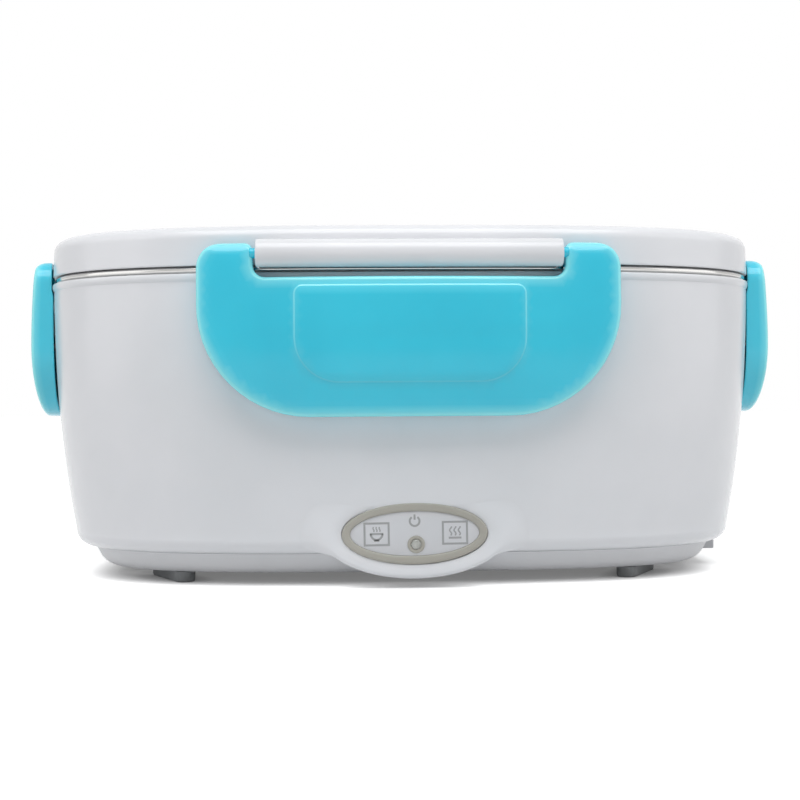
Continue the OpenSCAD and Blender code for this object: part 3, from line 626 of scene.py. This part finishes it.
def makeSigns():
    # the usual on/off sign, a bowl, and warm air rising
    shape = Shape()
    x, y = 0.0, signs["powerY"]
    addStroke(shape, curve(x, y, 1.45, 125, 415, 28))
    addStroke(shape, [Vector((x, y + 0.4)), Vector((x, y + 2.0))])
    wide, high, y = signs["squareWide"] / 2, signs["squareHigh"] / 2, signs["y"]
    for x in (signs["left"], signs["right"]):
        corners = ((-wide, -high), (wide, -high), (wide, high), (-wide, high))
        addStroke(shape, [Vector((x + dx, y + dy)) for dx, dy in corners], closed=True)
    x = signs["left"]
    addStroke(shape, [Vector((x - 2.0, y + 0.1)), Vector((x + 2.0, y + 0.1))])
    addStroke(shape, curve(x, y + 0.1, 1.75, 180, 360, 16))
    addStroke(shape, [Vector((x - 0.8, y - 1.9)), Vector((x + 0.8, y - 1.9))])
    for dx in (-0.9, 0.0, 0.9):
        line = [Vector((x + dx + 0.16 * math.sin(t * 1.05), y + 0.7 + t * 0.25)) for t in range(7)]
        addStroke(shape, line, width=signs["thinAirStroke"])
    x = signs["right"]
    addStroke(shape, [Vector((x - 1.9, y - 1.5)), Vector((x + 1.9, y - 1.5))])
    for dx in (-1.3, 0.0, 1.3):
        line = [Vector((x + dx + 0.3 * math.sin(t * 0.9), y - 0.8 + t * 0.3)) for t in range(10)]
        addStroke(shape, line, width=signs["airStroke"])
    shape.addPiece("panelSigns", "base", "screenInkGrey", place=panelPlace(panel["turn"]))


makeBoss()
makeBezel()
makeFilm()
makeIndicator()
makeSigns()
print("panel made")

# base cover, feet, inlet
cover = {
    "thick": 2.4, "bottom": 3.4, "flatInset": 20.5, "screwInset": 30.0, "screwAngle": 12.0, "screwHole": 3.2,
    "notchLow": 5.05, "notchHigh": 25.05, "notchFront": 144.5,
}
foot = {"length": 26.0, "width": 6.5, "x": 74.0, "y": 38.0, "edge": 0.7}
inlet = {"pinPitch": 8.6, "recessRadius": 4.6, "recessWaist": 0.8, "recessDepth": 12.0, "edge": 0.5}


def quarters():
    return [(sx, sy) for sx in (-1, 1) for sy in (-1, 1)]


def makeCover():
    e, seam, low, high = coverEdge, casing["seam"], cover["bottom"], cover["bottom"] + cover["thick"]
    profile = [
        (cover["flatInset"] + 3, low), (cover["flatInset"], low), (e + 6.2, low + 0.12),
        (e + 5.1, low + 0.45), (e + 4.0, low + 1.0), (e + 3.0, low + 1.75), (e + 2.1, low + 2.75),
        (e + 1.2, seam - 2.3), (e + 0.5, seam - 1.1), (e + 0.1, seam - 0.35), (e + 0.2, seam - 0.2),
        (e + 0.8, seam - 0.2), (e + 0.8, seam + 1.4), (e + 2.6, seam + 1.4), (e + 3.4, seam - 1),
        (e + 5, high + 0.8), (cover["flatInset"] + 1.5, high)]
    rings = [ring(i, z) for i, z in profile]
    middle = ring(cover["flatInset"] + 1.5, 0)
    for share in (0.6, 0.2):
        rings.append(shrunkRing(middle, share, high))
        rings.insert(0, shrunkRing(middle, share, low))
    shape = Shape()
    shape.addRings(rings, caps=(True, True))
    piece = shape.addPiece("baseCover", "base", "polypropyleneSatinOffWhite", ["base_cover"])
    at = rimPoint(math.radians(cover["screwAngle"]), cover["screwInset"])
    for sx, sy in quarters():
        ends = [roundRing(cover["screwHole"], z, sx * at.x, sy * at.y, 40) for z in (-1.0, high + 1.0)]
        hole = Shape()
        hole.addRings(ends, caps=(True, True))
        cutWith(piece, hole)
    notch = Shape()
    notch.addBox(Vector((inletWindow["back"], -inletWindow["halfWidth"], cover["notchLow"])),
                 Vector((cover["notchFront"], inletWindow["halfWidth"], cover["notchHigh"])))
    cutWith(piece, notch)


def makeFeet():
    # an oblong pad in each quarter, laid across the line to the middle
    shape = Shape()
    at = Vector((foot["x"], foot["y"]))
    normal = at.normalized()
    along = Vector((-normal.y, normal.x))
    reach = foot["length"] / 2 - foot["width"] / 2
    r, e = foot["width"] / 2, foot["edge"]
    for sx, sy in quarters():
        rings = []
        for inset, z in [(e, 0.0), (e * 0.3, e * 0.25), (0, e), (0, cover["bottom"] - 0.02)]:
            pad = []
            for centre, start in ((reach, -90), (-reach, 90)):
                for q in arc(0, 0, r - inset, start, start + 180, 16):
                    flat = at + along * (centre + q[0]) + normal * q[1]
                    pad.append(Vector((sx * flat.x, sy * flat.y, z)))
            rings.append(pad)
        shape.addRings(rings, caps=(True, True))
    shape.addPiece("rubberFeetPads", "base", "rubberMouldedGrey", ["rubber_feet"])


def makeInlet():
    # the block fills its CAD box; two round ends and the waist between them make the recess
    low, high = [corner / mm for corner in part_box("inlet_socket")]
    pinLow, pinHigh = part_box("inlet_pins")
    middle = (pinLow.z + pinHigh.z) / 2 / mm
    shape = Shape()
    shape.addBox(low, high)
    piece = shape.addPiece("inletBlock", "base", "polypropyleneSatinOffWhite",
                           ["inlet_socket"])
    half, r = inlet["pinPitch"] / 2, inlet["recessRadius"]
    waist = math.degrees(math.asin(inlet["recessWaist"]))
    outline = arc(half, 0, r, waist - 180, 180 - waist, 40) + arc(-half, 0, r, waist, 360 - waist, 40)
    recess = Shape()
    recess.addRings([[Vector((x, -y, middle + z)) for y, z in outline]
                     for x in (high.x - inlet["recessDepth"], high.x + 2)], caps=(True, True))
    cutWith(piece, recess)
    rounding = piece.modifiers.new("softEdges", "BEVEL")
    rounding.width = inlet["edge"] * mm
    rounding.segments = 3
    rounding.limit_method = "ANGLE"
    rounding.angle_limit = math.radians(50)


makeCover()
makeFeet()
makeInlet()
print("base made")

# steel tray
tray = {
    "steel": 0.8, "rimHeight": 2.0, "rimInset": 0.9, "topInset": 4.6, "footInset": 11.0, "radius": 9.0,
    "floor": 29.1,
}


def makeTray():
    t, r, steel, rimZ = tray, tray["radius"], tray["steel"], casing["rim"]
    top = rimZ + t["rimHeight"]
    zc, ic = t["floor"] + r, t["footInset"] + r
    corner = arc(ic, zc, r, 270, 180, 14)
    wall = [(t["topInset"] + (t["footInset"] - t["topInset"]) * k, rimZ - 1 + (zc - rimZ + 1) * k)
            for k in (0.8, 0.6, 0.4, 0.2, 0.05)]
    # the rim turns out, round a bead, and back in over itself
    bead = t["rimHeight"] / 2
    rim = [(t["topInset"] - 0.1, rimZ - 0.25), (t["topInset"] - 0.4, rimZ)]
    rim += arc(t["rimInset"] + bead, rimZ + bead, bead, 270, 90, 9)
    inside = t["topInset"] + steel
    rim += [(inside - 0.9, top), (inside - 0.3, top - 0.25), (inside, top - 0.9)]
    inner = [(i + steel, z) for i, z in reversed(wall)] + arc(ic, zc, r - steel, 180, 270, 14)
    rings = [ring(i, z) for i, z in corner + wall + rim + inner]
    middle = ring(ic, 0)
    for share in (0.6, 0.25):
        rings.append(shrunkRing(middle, share, t["floor"] + steel))
        rings.insert(0, shrunkRing(middle, share, t["floor"]))
    shape = Shape()
    shape.addRings(rings, caps=(True, True))
    shape.addPiece("steelTray", "tray", "stainlessPolished", ["food_tray"])


makeTray()
print("tray made")

# lid
lid = {
    "bottom": 96.4, "height": 12.3, "wall": 2.2, "radius": 4.0, "crown": 0.4, "inset": 0.3, "draft": 0.3,
    "ventX": 58.0, "ventY": 26.0, "dish": 10.5, "dishDepth": 2.2, "stem": 3.06,
}
hinge = {"z": 99.3, "studRadius": 1.5, "studPlay": 0.06, "studGrip": 3.6}
clip = {
    "ear": 16.7, "barGap": 0.8, "drop": 47.8, "wall": 2.0, "edge": 1.3, "seatGap": 0.15,
    "faceRadius": 124.0, "browRadius": 300.0, "faceRise": -22.3,    # bow of the face, below and above
    "earCorner": 7.5, "earInner": 3.0, "lowCorner": 33.0, "notchDrop": 7.0, "notchFillet": 3.5,
    "hookDrop": 25.9, "hookHeight": 3.2, "hookOut": 1.3,
    "padShare": 0.54, "padTop": 9.6, "padLow": 37.7, "padCorner": 13.0, "padEdge": 0.3, "pad": 0.4,
    "sink": 0.2,                # the face sinks a little where the hook stands behind it
    "ease": 0.885,              # degrees that a latch hangs open at rest
    "step": 2.0,                # spacing of the points on a face
}
catch = {"drop": 25.6, "height": 3.4, "out": 1.6}
longKind = {
    "width": 124.8, "bow": 445.0, "ribShare": 0.66, "out": 3.1, "knuckle": 3.4, "bulge": 7.2, "bar": 4.1,
}
shortKind = {
    "width": 56.0, "bow": 300.0, "ribShare": 0.5, "out": 2.5, "knuckle": 2.8, "bulge": 6.1, "bar": 3.4,
}
longSide = {"half": casing["depth"] / 2, "across": casing["width"] / 2, "kind": longKind}
shortSide = {"half": casing["width"] / 2, "across": casing["depth"] / 2, "kind": shortKind}
sides = {
    "front": {"turn": 180, **longSide},
    "rear": {"turn": 0, **longSide},
    "left": {"turn": 90, **shortSide},
    "right": {"turn": -90, **shortSide},
}


def sidePlace(side):
    # X along the rim, Y outwards from the rim line, Z up
    s = sides[side]
    return Matrix.Rotation(math.radians(s["turn"]), 4, "Z") @ Matrix.Translation((0, s["half"], 0))


def earOf(kind):
    return min(clip["ear"], kind["width"] / 4)


def lidSection(t):
    # from the lid's lower edge up to the start of its crown, t under the outer face
    top, i = lid["bottom"] + lid["height"], lid["inset"] + t
    r, zc = lid["radius"], top - lid["crown"] - lid["radius"]
    side = [(i, lid["bottom"] + (0.35 if t == 0 else 0)), (i + 0.08, lid["bottom"] + 2), (i + 0.2, zc - 2)]
    return side + arc(lid["inset"] + lid["draft"] + r, zc, r - t, 180, 90, 12)


def crownRings(t):
    edge = ring(lid["inset"] + lid["draft"] + lid["radius"], 0)
    top = lid["bottom"] + lid["height"] - t
    shares = (0.97, 0.92, 0.85, 0.75, 0.62, 0.48, 0.34, 0.2, 0.08)
    return [shrunkRing(edge, k, top - lid["crown"] * 0.9 * k * k) for k in shares]


def ventRing(r, z, n=72):
    return roundRing(r, z, lid["ventX"], lid["ventY"], n)


def makeLid():
    outer, inner = lidSection(0), lidSection(lid["wall"])
    edge = [(lid["inset"] + 0.35, lid["bottom"])]
    rings = list(reversed(crownRings(lid["wall"]))) + [ring(i, z) for i, z in reversed(inner)]
    rings += [ring(i, z) for i, z in edge + outer] + crownRings(0)
    shape = Shape()
    shape.addRings(rings, caps=(True, True))
    piece = shape.addPiece("lidTop", "lid", "polypropyleneGlossWhite", ["lid_shell"])
    # the dish that the steam plug lies in
    top = lid["bottom"] + lid["height"]
    floor = top - lid["crown"] - lid["dishDepth"]
    d, stem = lid["dish"], lid["stem"]
    cup = Shape()
    cup.addRings([ventRing(r, z) for r, z in [
        (stem, floor - 4), (d + 1.4, floor - 4), (d + 1.4, top - 1.8), (d, top - 1.8), (d, floor + 0.5),
        (d - 0.5, floor), (stem + 0.3, floor), (stem, floor - 0.3)]], closed=True)
    cup.addPiece("steamDish", "lid", "polypropyleneGlossWhite")
    hole = Shape()
    hole.addRings([ventRing(r, z) for r, z in [
        (d, floor - 6), (d, top - 1.2), (d + 0.3, top - 0.75), (d + 1.6, top + 0.6)]], caps=(True, True))
    cutWith(piece, hole)


def makeBars():
    # round bars on the lid with a bore in each end for the latches' studs, on a web from the lid's wall
    e, n = 0.5, 64
    bore, deep = hinge["studRadius"] + hinge["studPlay"], hinge["studGrip"] + 0.6
    turns = [2 * math.pi * i / n for i in range(n)]
    root = 0.2 - lid["inset"] - lid["wall"]
    for side, spec in sides.items():
        kind = spec["kind"]
        r, out, z = kind["bar"], kind["out"], hinge["z"]
        half = kind["width"] / 2 - earOf(kind) - clip["barGap"]
        left = [(-half + deep, bore), (-half + 0.2, bore), (-half, bore + 0.2), (-half, r - e),
                (-half + 0.15, r - 0.15), (-half + e, r)]
        stations = left + [(-x, radius) for x, radius in reversed(left)]
        bar = Shape()
        bar.addRings([[Vector((x, out + radius * math.cos(t), z + radius * math.sin(t))) for t in turns]
                      for x, radius in stations], caps=(True, True))
        web = [(root, z - 2.3), (out, z - 2.3), (out, z + r * 0.8), (0.9, z + r * 0.74),
               (-0.5, z + r * 0.82), (root, z + r * 0.9)]
        bar.addRings([[Vector((x, y, w)) for y, w in web] for x in (0.6 - half, half - 0.6)],
                     caps=(True, True))
        bar.addPiece("hingeBar." + side, "lid", "polypropyleneGlossWhite",
                     place=sidePlace(side), sharp=25)


def makeCatchRibs():
    # the ribs on the casing that the latches' hooks snap under
    shape = Shape()
    low = hinge["z"] - catch["drop"]
    out, e = catch["out"], 0.25
    section = [(-2.9, low), (out - e, low), (out, low + e), (out, low + catch["height"] * 0.3),
               (-1.4, low + catch["height"])]
    for side, spec in sides.items():
        half = spec["kind"]["width"] * spec["kind"]["ribShare"] / 2
        place = sidePlace(side)
        ends = ((-half, 0.25), (0.25 - half, 0), (half - 0.25, 0), (half, 0.25))
        shape.addRings([[place @ Vector((x, y - inset, z)) for y, z in section] for x, inset in ends],
                       caps=(True, True))
    shape.addPiece("catchRibs", "base", "polypropyleneGlossWhite", sharp=25)


def makeLiner():
    # a shallow pan inside the lid, stepped over the tray's rim
    top = casing["rim"] + tray["rimHeight"]
    z, t = lid["bottom"] + 2.4, 1.2
    step, edge = tray["topInset"] + 4.4, lid["inset"] + lid["wall"] + 0.5
    profile = [(step + 2.4, top - 2), (step + 1.2, top - 1.9), (step + 0.4, top - 1.5), (step, top - 0.8),
               (step, z), (edge, z), (edge, z + t), (step + t, z + t), (step + t, top - 0.4),
               (step + t + 0.4, top - 0.85), (step + t + 1.2, top - 0.8)]
    rings = [ring(i, height) for i, height in profile]
    middle = ring(step + 3, 0)
    for share in (0.6, 0.25):
        rings.append(shrunkRing(middle, share, top - 0.8))
        rings.insert(0, shrunkRing(middle, share, top - 2))
    shape = Shape()
    shape.addRings(rings, caps=(True, True))
    piece = shape.addPiece("lidInnerPan", "lid", "polypropyleneSatinOffWhite", ["lid_liner"])
    hole = Shape()
    hole.addRings([ventRing(2.5, height, 48) for height in (top - 4, top + 2)], caps=(True, True))
    cutWith(piece, hole)


def makeSeal():
    top = casing["rim"] + tray["rimHeight"]
    z = lid["bottom"] + 2.4
    a, b = lid["inset"] + lid["wall"] + 0.9, tray["topInset"] + 4.1
    profile = [(a, top + 1.1), (a, z - 0.1), (b, z - 0.1), (b, top + 0.5), (b - 0.3, top + 0.2),
               (b - 0.9, top + 0.1), (b - 2.0, top + 0.1), (b - 2.5, top + 0.35), (b - 3.0, top + 0.8),
               (a + 1.0, top + 1.0)]
    shape = Shape()
    shape.addRings([ring(i, height) for i, height in profile], closed=True)
    shape.addPiece("siliconeSeal", "lid", "siliconeMattWhite", ["lid_seal"])


def makePlug():
    floor = lid["bottom"] + lid["height"] - lid["crown"] - lid["dishDepth"]
    r, stem = lid["dish"] - 1.0, lid["stem"] - 0.08
    section = [(stem - 0.6, -8), (stem - 0.1, -7.6), (stem, -7), (stem, 0.02), (r - 0.4, 0.02), (r, 0.4),
               (r, 1.1), (r - 0.4, 1.5), (r - 1, 1.6), (r - 2.6, 1.6), (r - 2.9, 1.9), (r - 3.4, 2.15),
               (r - 4.2, 2.2)]
    shape = Shape()
    shape.addRings([ventRing(radius, floor + z) for radius, z in section], caps=(True, True))
    shape.addPiece("steamPlug", "steam_plug", "polypropyleneSatinAqua", ["vent_plug"])


makeLid()
makeBars()
makeCatchRibs()
makeLiner()
makeSeal()
makePlug()
print("lid made")

# snap latches

def joinRuns(runs, plain, step):
    # the straight lines between the arcs are cut into as many steps as between the plain ones, so that
    # outlines with different insets have the same number of points
    points = []
    for k, run in enumerate(runs):
        following = (k + 1) % len(runs)
        pieces = max(1, round((plain[following][0] - plain[k][-1]).length / step))
        points += run + [run[-1].lerp(runs[following][0], i / pieces) for i in range(1, pieces)]
    return points


def clipOutline(kind, inset):
    # from the lower edge up round the right ear and down into the notch, then the same on the left
    c, half, top = clip, kind["width"] / 2, hinge["z"] + kind["knuckle"]
    low, notch, notchZ = hinge["z"] - c["drop"], half - earOf(kind), hinge["z"] - c["notchDrop"]
    corner, ear = min(c["lowCorner"], half * 0.76), c["earCorner"]
    inner, fillet = c["earInner"], c["notchFillet"]
    arcs = [
        (half - corner, low + corner, corner, -90, 0, 14, -1),
        (half - ear, top - ear, ear, 0, 90, 10, -1),
        (notch + inner, top - inner, inner, 90, 180, 5, -1),
        (notch - fillet, notchZ + fillet, fillet, 0, -90, 8, 1),
    ]

    def runsAt(inset):
        right = [[Vector(p) for p in arc(cx, cy, r + sign * inset, start, end, steps)]
                 for cx, cy, r, start, end, steps, sign in arcs]
        return right + [[Vector((-p.x, p.y)) for p in reversed(run)] for run in reversed(right)]

    return joinRuns(runsAt(inset), runsAt(0), c["step"])


def padOutline(half, inset):
    # the grip pad: large round corners below, small ones above
    top, low = hinge["z"] - clip["padTop"], hinge["z"] - clip["padLow"]
    corner, small = min(clip["padCorner"], half * 0.6), 2.4
    arcs = [
        (half - corner, low + corner, corner, -90, 0, 12),
        (half - small, top - small, small, 0, 90, 5),
        (small - half, top - small, small, 90, 180, 5),
        (corner - half, low + corner, corner, 180, 270, 12),
    ]
    runs = [[Vector(p) for p in arc(cx, cy, r - inset, start, end, steps)]
            for cx, cy, r, start, end, steps in arcs]
    return joinRuns(runs, runs, clip["step"])


def isInside(p, outline):
    inside = False
    for a, b in zip(outline, outline[1:] + outline[:1]):
        if (a.y > p.y) != (b.y > p.y) and p.x < (b.x - a.x) * (p.y - a.y) / (b.y - a.y) + a.x:
            inside = not inside
    return inside


def nearest(p, outline):
    # distance to the closed line
    best = math.inf
    for a, b in zip(outline, outline[1:] + outline[:1]):
        run = b - a
        t = max(0.0, min(1.0, (p - a).dot(run) / max(run.length_squared, 1e-9)))
        best = min(best, (p - a - run * t).length)
    return best


def fillOutline(outline, step, extra=()):
    # plane triangles inside the outline, with a grid of points and any extra closed lines
    points, lines = list(outline), []
    for line in extra:
        first = len(points)
        points += line
        lines += [(first + i, first + (i + 1) % len(line)) for i in range(len(line))]
    xs, ys = [p.x for p in outline], [p.y for p in outline]
    rows = int((max(ys) - min(ys)) / step)
    columns = int((max(xs) - min(xs)) / step)
    for i in range(1, rows + 1):
        for j in range(columns + 1):
            p = Vector((min(xs) + (j + 0.5 * (i % 2)) * step, min(ys) + i * step))
            if isInside(p, outline) and nearest(p, outline) > step * 0.55 \
                    and all(nearest(p, line) > step * 0.45 for line in extra):
                points.append(p)
    rim = list(range(len(outline)))
    verts, _, faces, _, _, _ = delaunay_2d_cdt(points, lines, [rim], 1, 1e-5)
    return verts, faces


def makeClip(side):
    c, kind = clip, sides[side]["kind"]
    half, bow, pivot = kind["width"] / 2, kind["bow"], hinge["z"]
    faceZ = pivot + c["faceRise"]
    padHalf = half * c["padShare"]
    padMiddle = padOutline(padHalf, 0)

    def rise(z):
        # the face's bow from top to bottom, closing to the knuckle over the pivot
        radius = c["browRadius"] if z > faceZ else c["faceRadius"]
        flat = kind["bulge"] - radius + math.sqrt(radius ** 2 - (min(z, pivot) - faceZ) ** 2)
        if z > pivot:
            over = (z - pivot) / kind["knuckle"]
            flat = kind["out"] + (flat - kind["out"]) * math.sqrt(max(0.0, 1 - over ** 2))
        return flat

    def face(p):
        return math.sqrt((bow + rise(p.y)) ** 2 - p.x ** 2) - bow

    def seat(p):
        # the flange follows the casing's wall, and steps out over the lip at its rim
        lip = casing["rim"] - casing["lipHeight"] - 0.4
        depth = 0.0 if p.y > lip else shellInset(p.y)
        return c["seatGap"] - depth - sideBow(p.x, sides[side]["across"], sides[side]["half"])

    def relief(p):
        # the raised pad, less the slight sink over the hook
        away = nearest(p, padMiddle)
        depth = away if isInside(p, padMiddle) else -away
        pad = c["pad"] * smoothStep(depth, -c["padEdge"], c["padEdge"])
        if abs(p.x) < half * 0.74:
            pad -= c["sink"] * math.exp(-((p.y - pivot + c["hookDrop"] - 0.6) / 1.1) ** 2)
        return pad

    def outline(inset):
        return clipOutline(kind, inset)

    shape = Shape()
    e, wall = c["edge"], c["wall"]
    # outer face
    rimLine = outline(e)
    padLines = [padOutline(padHalf, k * c["padEdge"]) for k in (-1, -0.35, 0.35, 1)]
    verts, faces = fillOutline(rimLine, c["step"], padLines)
    made = [shape.mesh.verts.new((p.x, face(p) + relief(p), p.y)) for p in verts]
    for v, p in zip(made, verts):
        # painted highlight at the rounded edge and along the pad's line, stronger near its top, where the
        # light from above falls
        lit = smoothStep(p.y, pivot - c["padLow"], pivot - c["padTop"])
        v[shape.paintedLight] = 0.5 * math.exp(-nearest(p, rimLine) / 0.9) \
            + (0.25 + 0.45 * lit) * math.exp(-(nearest(p, padMiddle) / 0.25) ** 2)
    for f in faces:
        shape.mesh.faces.new([made[i] for i in f])
    # rounded edge, flange and the inner side of the flange, with the painted highlight of each row
    rows, paintedLight = [], []
    for angle in range(90, -1, -15):
        turn = math.radians(angle)
        line = outline(e - e * math.cos(turn) if angle < 90 else e)
        rows.append([(p, face(p) - e * (1 - math.sin(turn))) for p in line])
        # the painted highlight is strongest halfway round the rounded edge
        paintedLight.append(0.5 + 0.5 * math.sin(2 * turn))
    edgeLine = outline(0)
    for k in (0.33, 0.66):
        rows.append([(p, (face(p) - e) * (1 - k) + (seat(p) + 0.3) * k) for p in edgeLine])
    rows.append([(p, seat(p) + 0.3) for p in edgeLine])
    rows.append([(p, seat(p)) for p in outline(0.3)])
    rows.append([(p, seat(p)) for p in outline(wall - 0.2)])
    rows.append([(p, seat(p) + 0.2) for p in outline(wall)])
    rows.append([(p, face(p) - wall - 0.6) for p in outline(wall)])
    # the flange's rows get a weaker painted highlight
    paintedLight += [0.15, 0.15, 0.15, 0.3, 0.3, 0.1, 0.0]
    shape.addRings([[Vector((p.x, y, p.y)) for p, y in row] for row in rows], paintedLight=paintedLight)
    # inner face, a little thicker round its middle
    innerLine = outline(wall)
    verts, faces = fillOutline(innerLine, c["step"] * 1.4)
    made = [shape.mesh.verts.new((p.x, face(p) - wall - 0.6 + 0.4 * min(1, nearest(p, innerLine) / 2), p.y))
            for p in verts]
    for f in faces:
        shape.mesh.faces.new([made[i] for i in reversed(f)])
    bmesh.ops.remove_doubles(shape.mesh, verts=shape.mesh.verts, dist=0.002)
    # hook rib
    hookTop = pivot - c["hookDrop"]
    reach = half * kind["ribShare"] - 1
    hookLow, lipLow, steps = hookTop - c["hookHeight"], hookTop - c["hookHeight"] * 0.4, 16
    rings = []
    for x in [-reach + 2 * reach * i / steps for i in range(steps + 1)]:
        back = face(Vector((x, hookTop))) - wall - 0.1
        section = ((c["hookOut"], hookTop), (c["hookOut"], lipLow), (3.6, hookLow), (back, hookLow),
                   (back, hookTop))
        rings.append([Vector((x, y, z)) for y, z in section])
    shape.addRings(rings, caps=(True, True))
    # pivot studs
    notch = half - earOf(kind)
    for s in (-1, 1):
        start, end = [Vector((s * x, kind["out"], pivot))
                      for x in (notch + 1, notch - c["barGap"] - hinge["studGrip"])]
        shape.addTube(start, end, hinge["studRadius"])
    ease = Matrix.Translation((0, kind["out"], pivot)) @ Matrix.Rotation(math.radians(c["ease"]), 4, "X") \
        @ Matrix.Translation((0, -kind["out"], -pivot))
    shape.addPiece("snapLatch." + side, side + "_clip", "polypropyleneSatinAqua",
                   [side + "_latch"], place=sidePlace(side) @ ease, sharp=38)


for side in sides:
    makeClip(side)
print("latches made")

# inner pieces keep their CAD solids
innerFinish = {
    "cover_screws": "steelZincPlated", "heater_clamp": "steelZincPlated", "clamp_screws": "steelZincPlated",
    "heater_plate": "aluminiumBrushed", "ptc_heater": "phenolicPressedDark",
    "thermostat": "phenolicPressedDark", "thermal_fuse": "polypropyleneSatinOffWhite",
    "inlet_pins": "brassNickelPlated", "led_board": "laminateLacqueredGreen",
    "wiring": "siliconeExtrudedRed",
}
for name, surface in innerFinish.items():
    data = nodes[name].data
    data.materials.clear()
    data.materials.append(finish[surface])
print("inner pieces finished")

# floor, backdrop and light
studio = {
    "floorHalf": 4.0,           # metres
    "floorLight": 0.7,          # how far the paper is white by itself near the lunch box, and
    "nearby": 0.25, "farOff": 1.2,    # between these distances in metres it grows to full white
    # painted contact shadow: within this reach, something over the paper takes away its own light
    "paintedShadowReach": 0.007,      # metres within which something over the paper keeps it dark
    "world": 0.26,
    "aim": (0.0, 0.0, 0.05),
    "lamps": {
        "overheadSoftbox": {"place": (0.0, -0.42, 0.88), "size": (1.0, 0.6), "watts": 6.4},
        "leftSoftbox": {"place": (-0.9, -0.3, 0.35), "size": (0.7, 0.7), "watts": 1.4},
        "rightSoftbox": {"place": (0.9, -0.3, 0.35), "size": (0.7, 0.7), "watts": 1.4},
    },
}


def backgroundRays(tree):
    # 1 where the background is looked at: from the camera, in a mirror, or through something clear
    path = addNode(tree, "ShaderNodeLightPath")
    seen = path.outputs["Is Camera Ray"]
    for ray in ("Is Glossy Ray", "Is Transmission Ray"):
        seen = addNode(tree, "ShaderNodeMath", {0: seen, 1: path.outputs[ray]}, "Value", operation="MAXIMUM")
    return seen


def makeFloor():
    half = studio["floorHalf"]
    data = bpy.data.meshes.new("studioFloor")
    corners = [(-half, -half, 0), (half, -half, 0), (half, half, 0), (-half, half, 0)]
    data.from_pydata(corners, [], [(0, 1, 2, 3)])
    floor = bpy.data.objects.new("studioFloor", data)
    bpy.context.scene.collection.objects.link(floor)
    material = bpy.data.materials.new("paperPaleWhite")
    material.use_nodes = True
    tree = material.node_tree
    tree.nodes.clear()
    output = addNode(tree, "ShaderNodeOutputMaterial")
    where = addNode(tree, "ShaderNodeTexCoord", None, "Object")
    fibre = addNode(tree, "ShaderNodeTexNoise", {"Vector": where, "Scale": patternScale(60.0)}, "Fac")
    tone = addNode(tree, "ShaderNodeMix",
                   {"Factor": fibre, "A": hexColour("#E2E2E2"), "B": hexColour("#DEDEDE")},
                   "Result", data_type="RGBA")
    diffuse = addNode(tree, "ShaderNodeBsdfDiffuse", {"Color": tone}, "BSDF")
    # the paper gives out its own light, weaker near the lunch box and full white further off; right under
    # the lunch box this light fades out, a painted contact shadow over the real shadow there
    away = addNode(tree, "ShaderNodeVectorMath", {0: where}, "Value", operation="LENGTH")
    level = addNode(tree, "ShaderNodeMapRange",
                    {"Value": away, "From Min": studio["nearby"], "From Max": studio["farOff"],
                     "To Min": studio["floorLight"], "To Max": 1.0}, "Result")
    # ambient occlusion takes the paper's own light away under things, a painted contact shadow
    free = addNode(tree, "ShaderNodeAmbientOcclusion", {"Distance": studio["paintedShadowReach"]}, "AO")
    light = addNode(tree, "ShaderNodeMath", {0: level, 1: free}, "Value", operation="MULTIPLY")
    seen = backgroundRays(tree)
    light = addNode(tree, "ShaderNodeMath", {0: seen, 1: light}, "Value", operation="MULTIPLY")
    paintedLight = addNode(tree, "ShaderNodeEmission", {"Color": (1, 1, 1, 1), "Strength": light}, "Emission")
    both = addNode(tree, "ShaderNodeAddShader", {0: diffuse, 1: paintedLight}, "Shader")
    tree.links.new(both, output.inputs["Surface"])
    data.materials.append(material)


def makeWorld():
    world = bpy.data.worlds.new("studioWorld")
    bpy.context.scene.world = world
    world.use_nodes = True
    tree = world.node_tree
    tree.nodes.clear()
    output = addNode(tree, "ShaderNodeOutputWorld")
    soft, white = [addNode(tree, "ShaderNodeBackground", {"Color": (1, 1, 1, 1), "Strength": strength},
                           "Background") for strength in (studio["world"], 1.0)]
    mix = addNode(tree, "ShaderNodeMixShader", {0: backgroundRays(tree), 1: soft, 2: white}, "Shader")
    tree.links.new(mix, output.inputs["Surface"])


def makeLamps():
    for name, lamp in studio["lamps"].items():
        data = bpy.data.lights.new(name, "AREA")
        data.shape = "RECTANGLE"
        data.size, data.size_y = lamp["size"]
        data.energy = lamp["watts"]
        softbox = bpy.data.objects.new(name, data)
        softbox.location = lamp["place"]
        towards = Vector(studio["aim"]) - Vector(lamp["place"])
        softbox.rotation_euler = towards.to_track_quat("-Z", "Y").to_euler()
        bpy.context.scene.collection.objects.link(softbox)


makeFloor()
makeWorld()
makeLamps()
bpy.context.scene.view_settings.view_transform = "Standard"
print("studio lit")
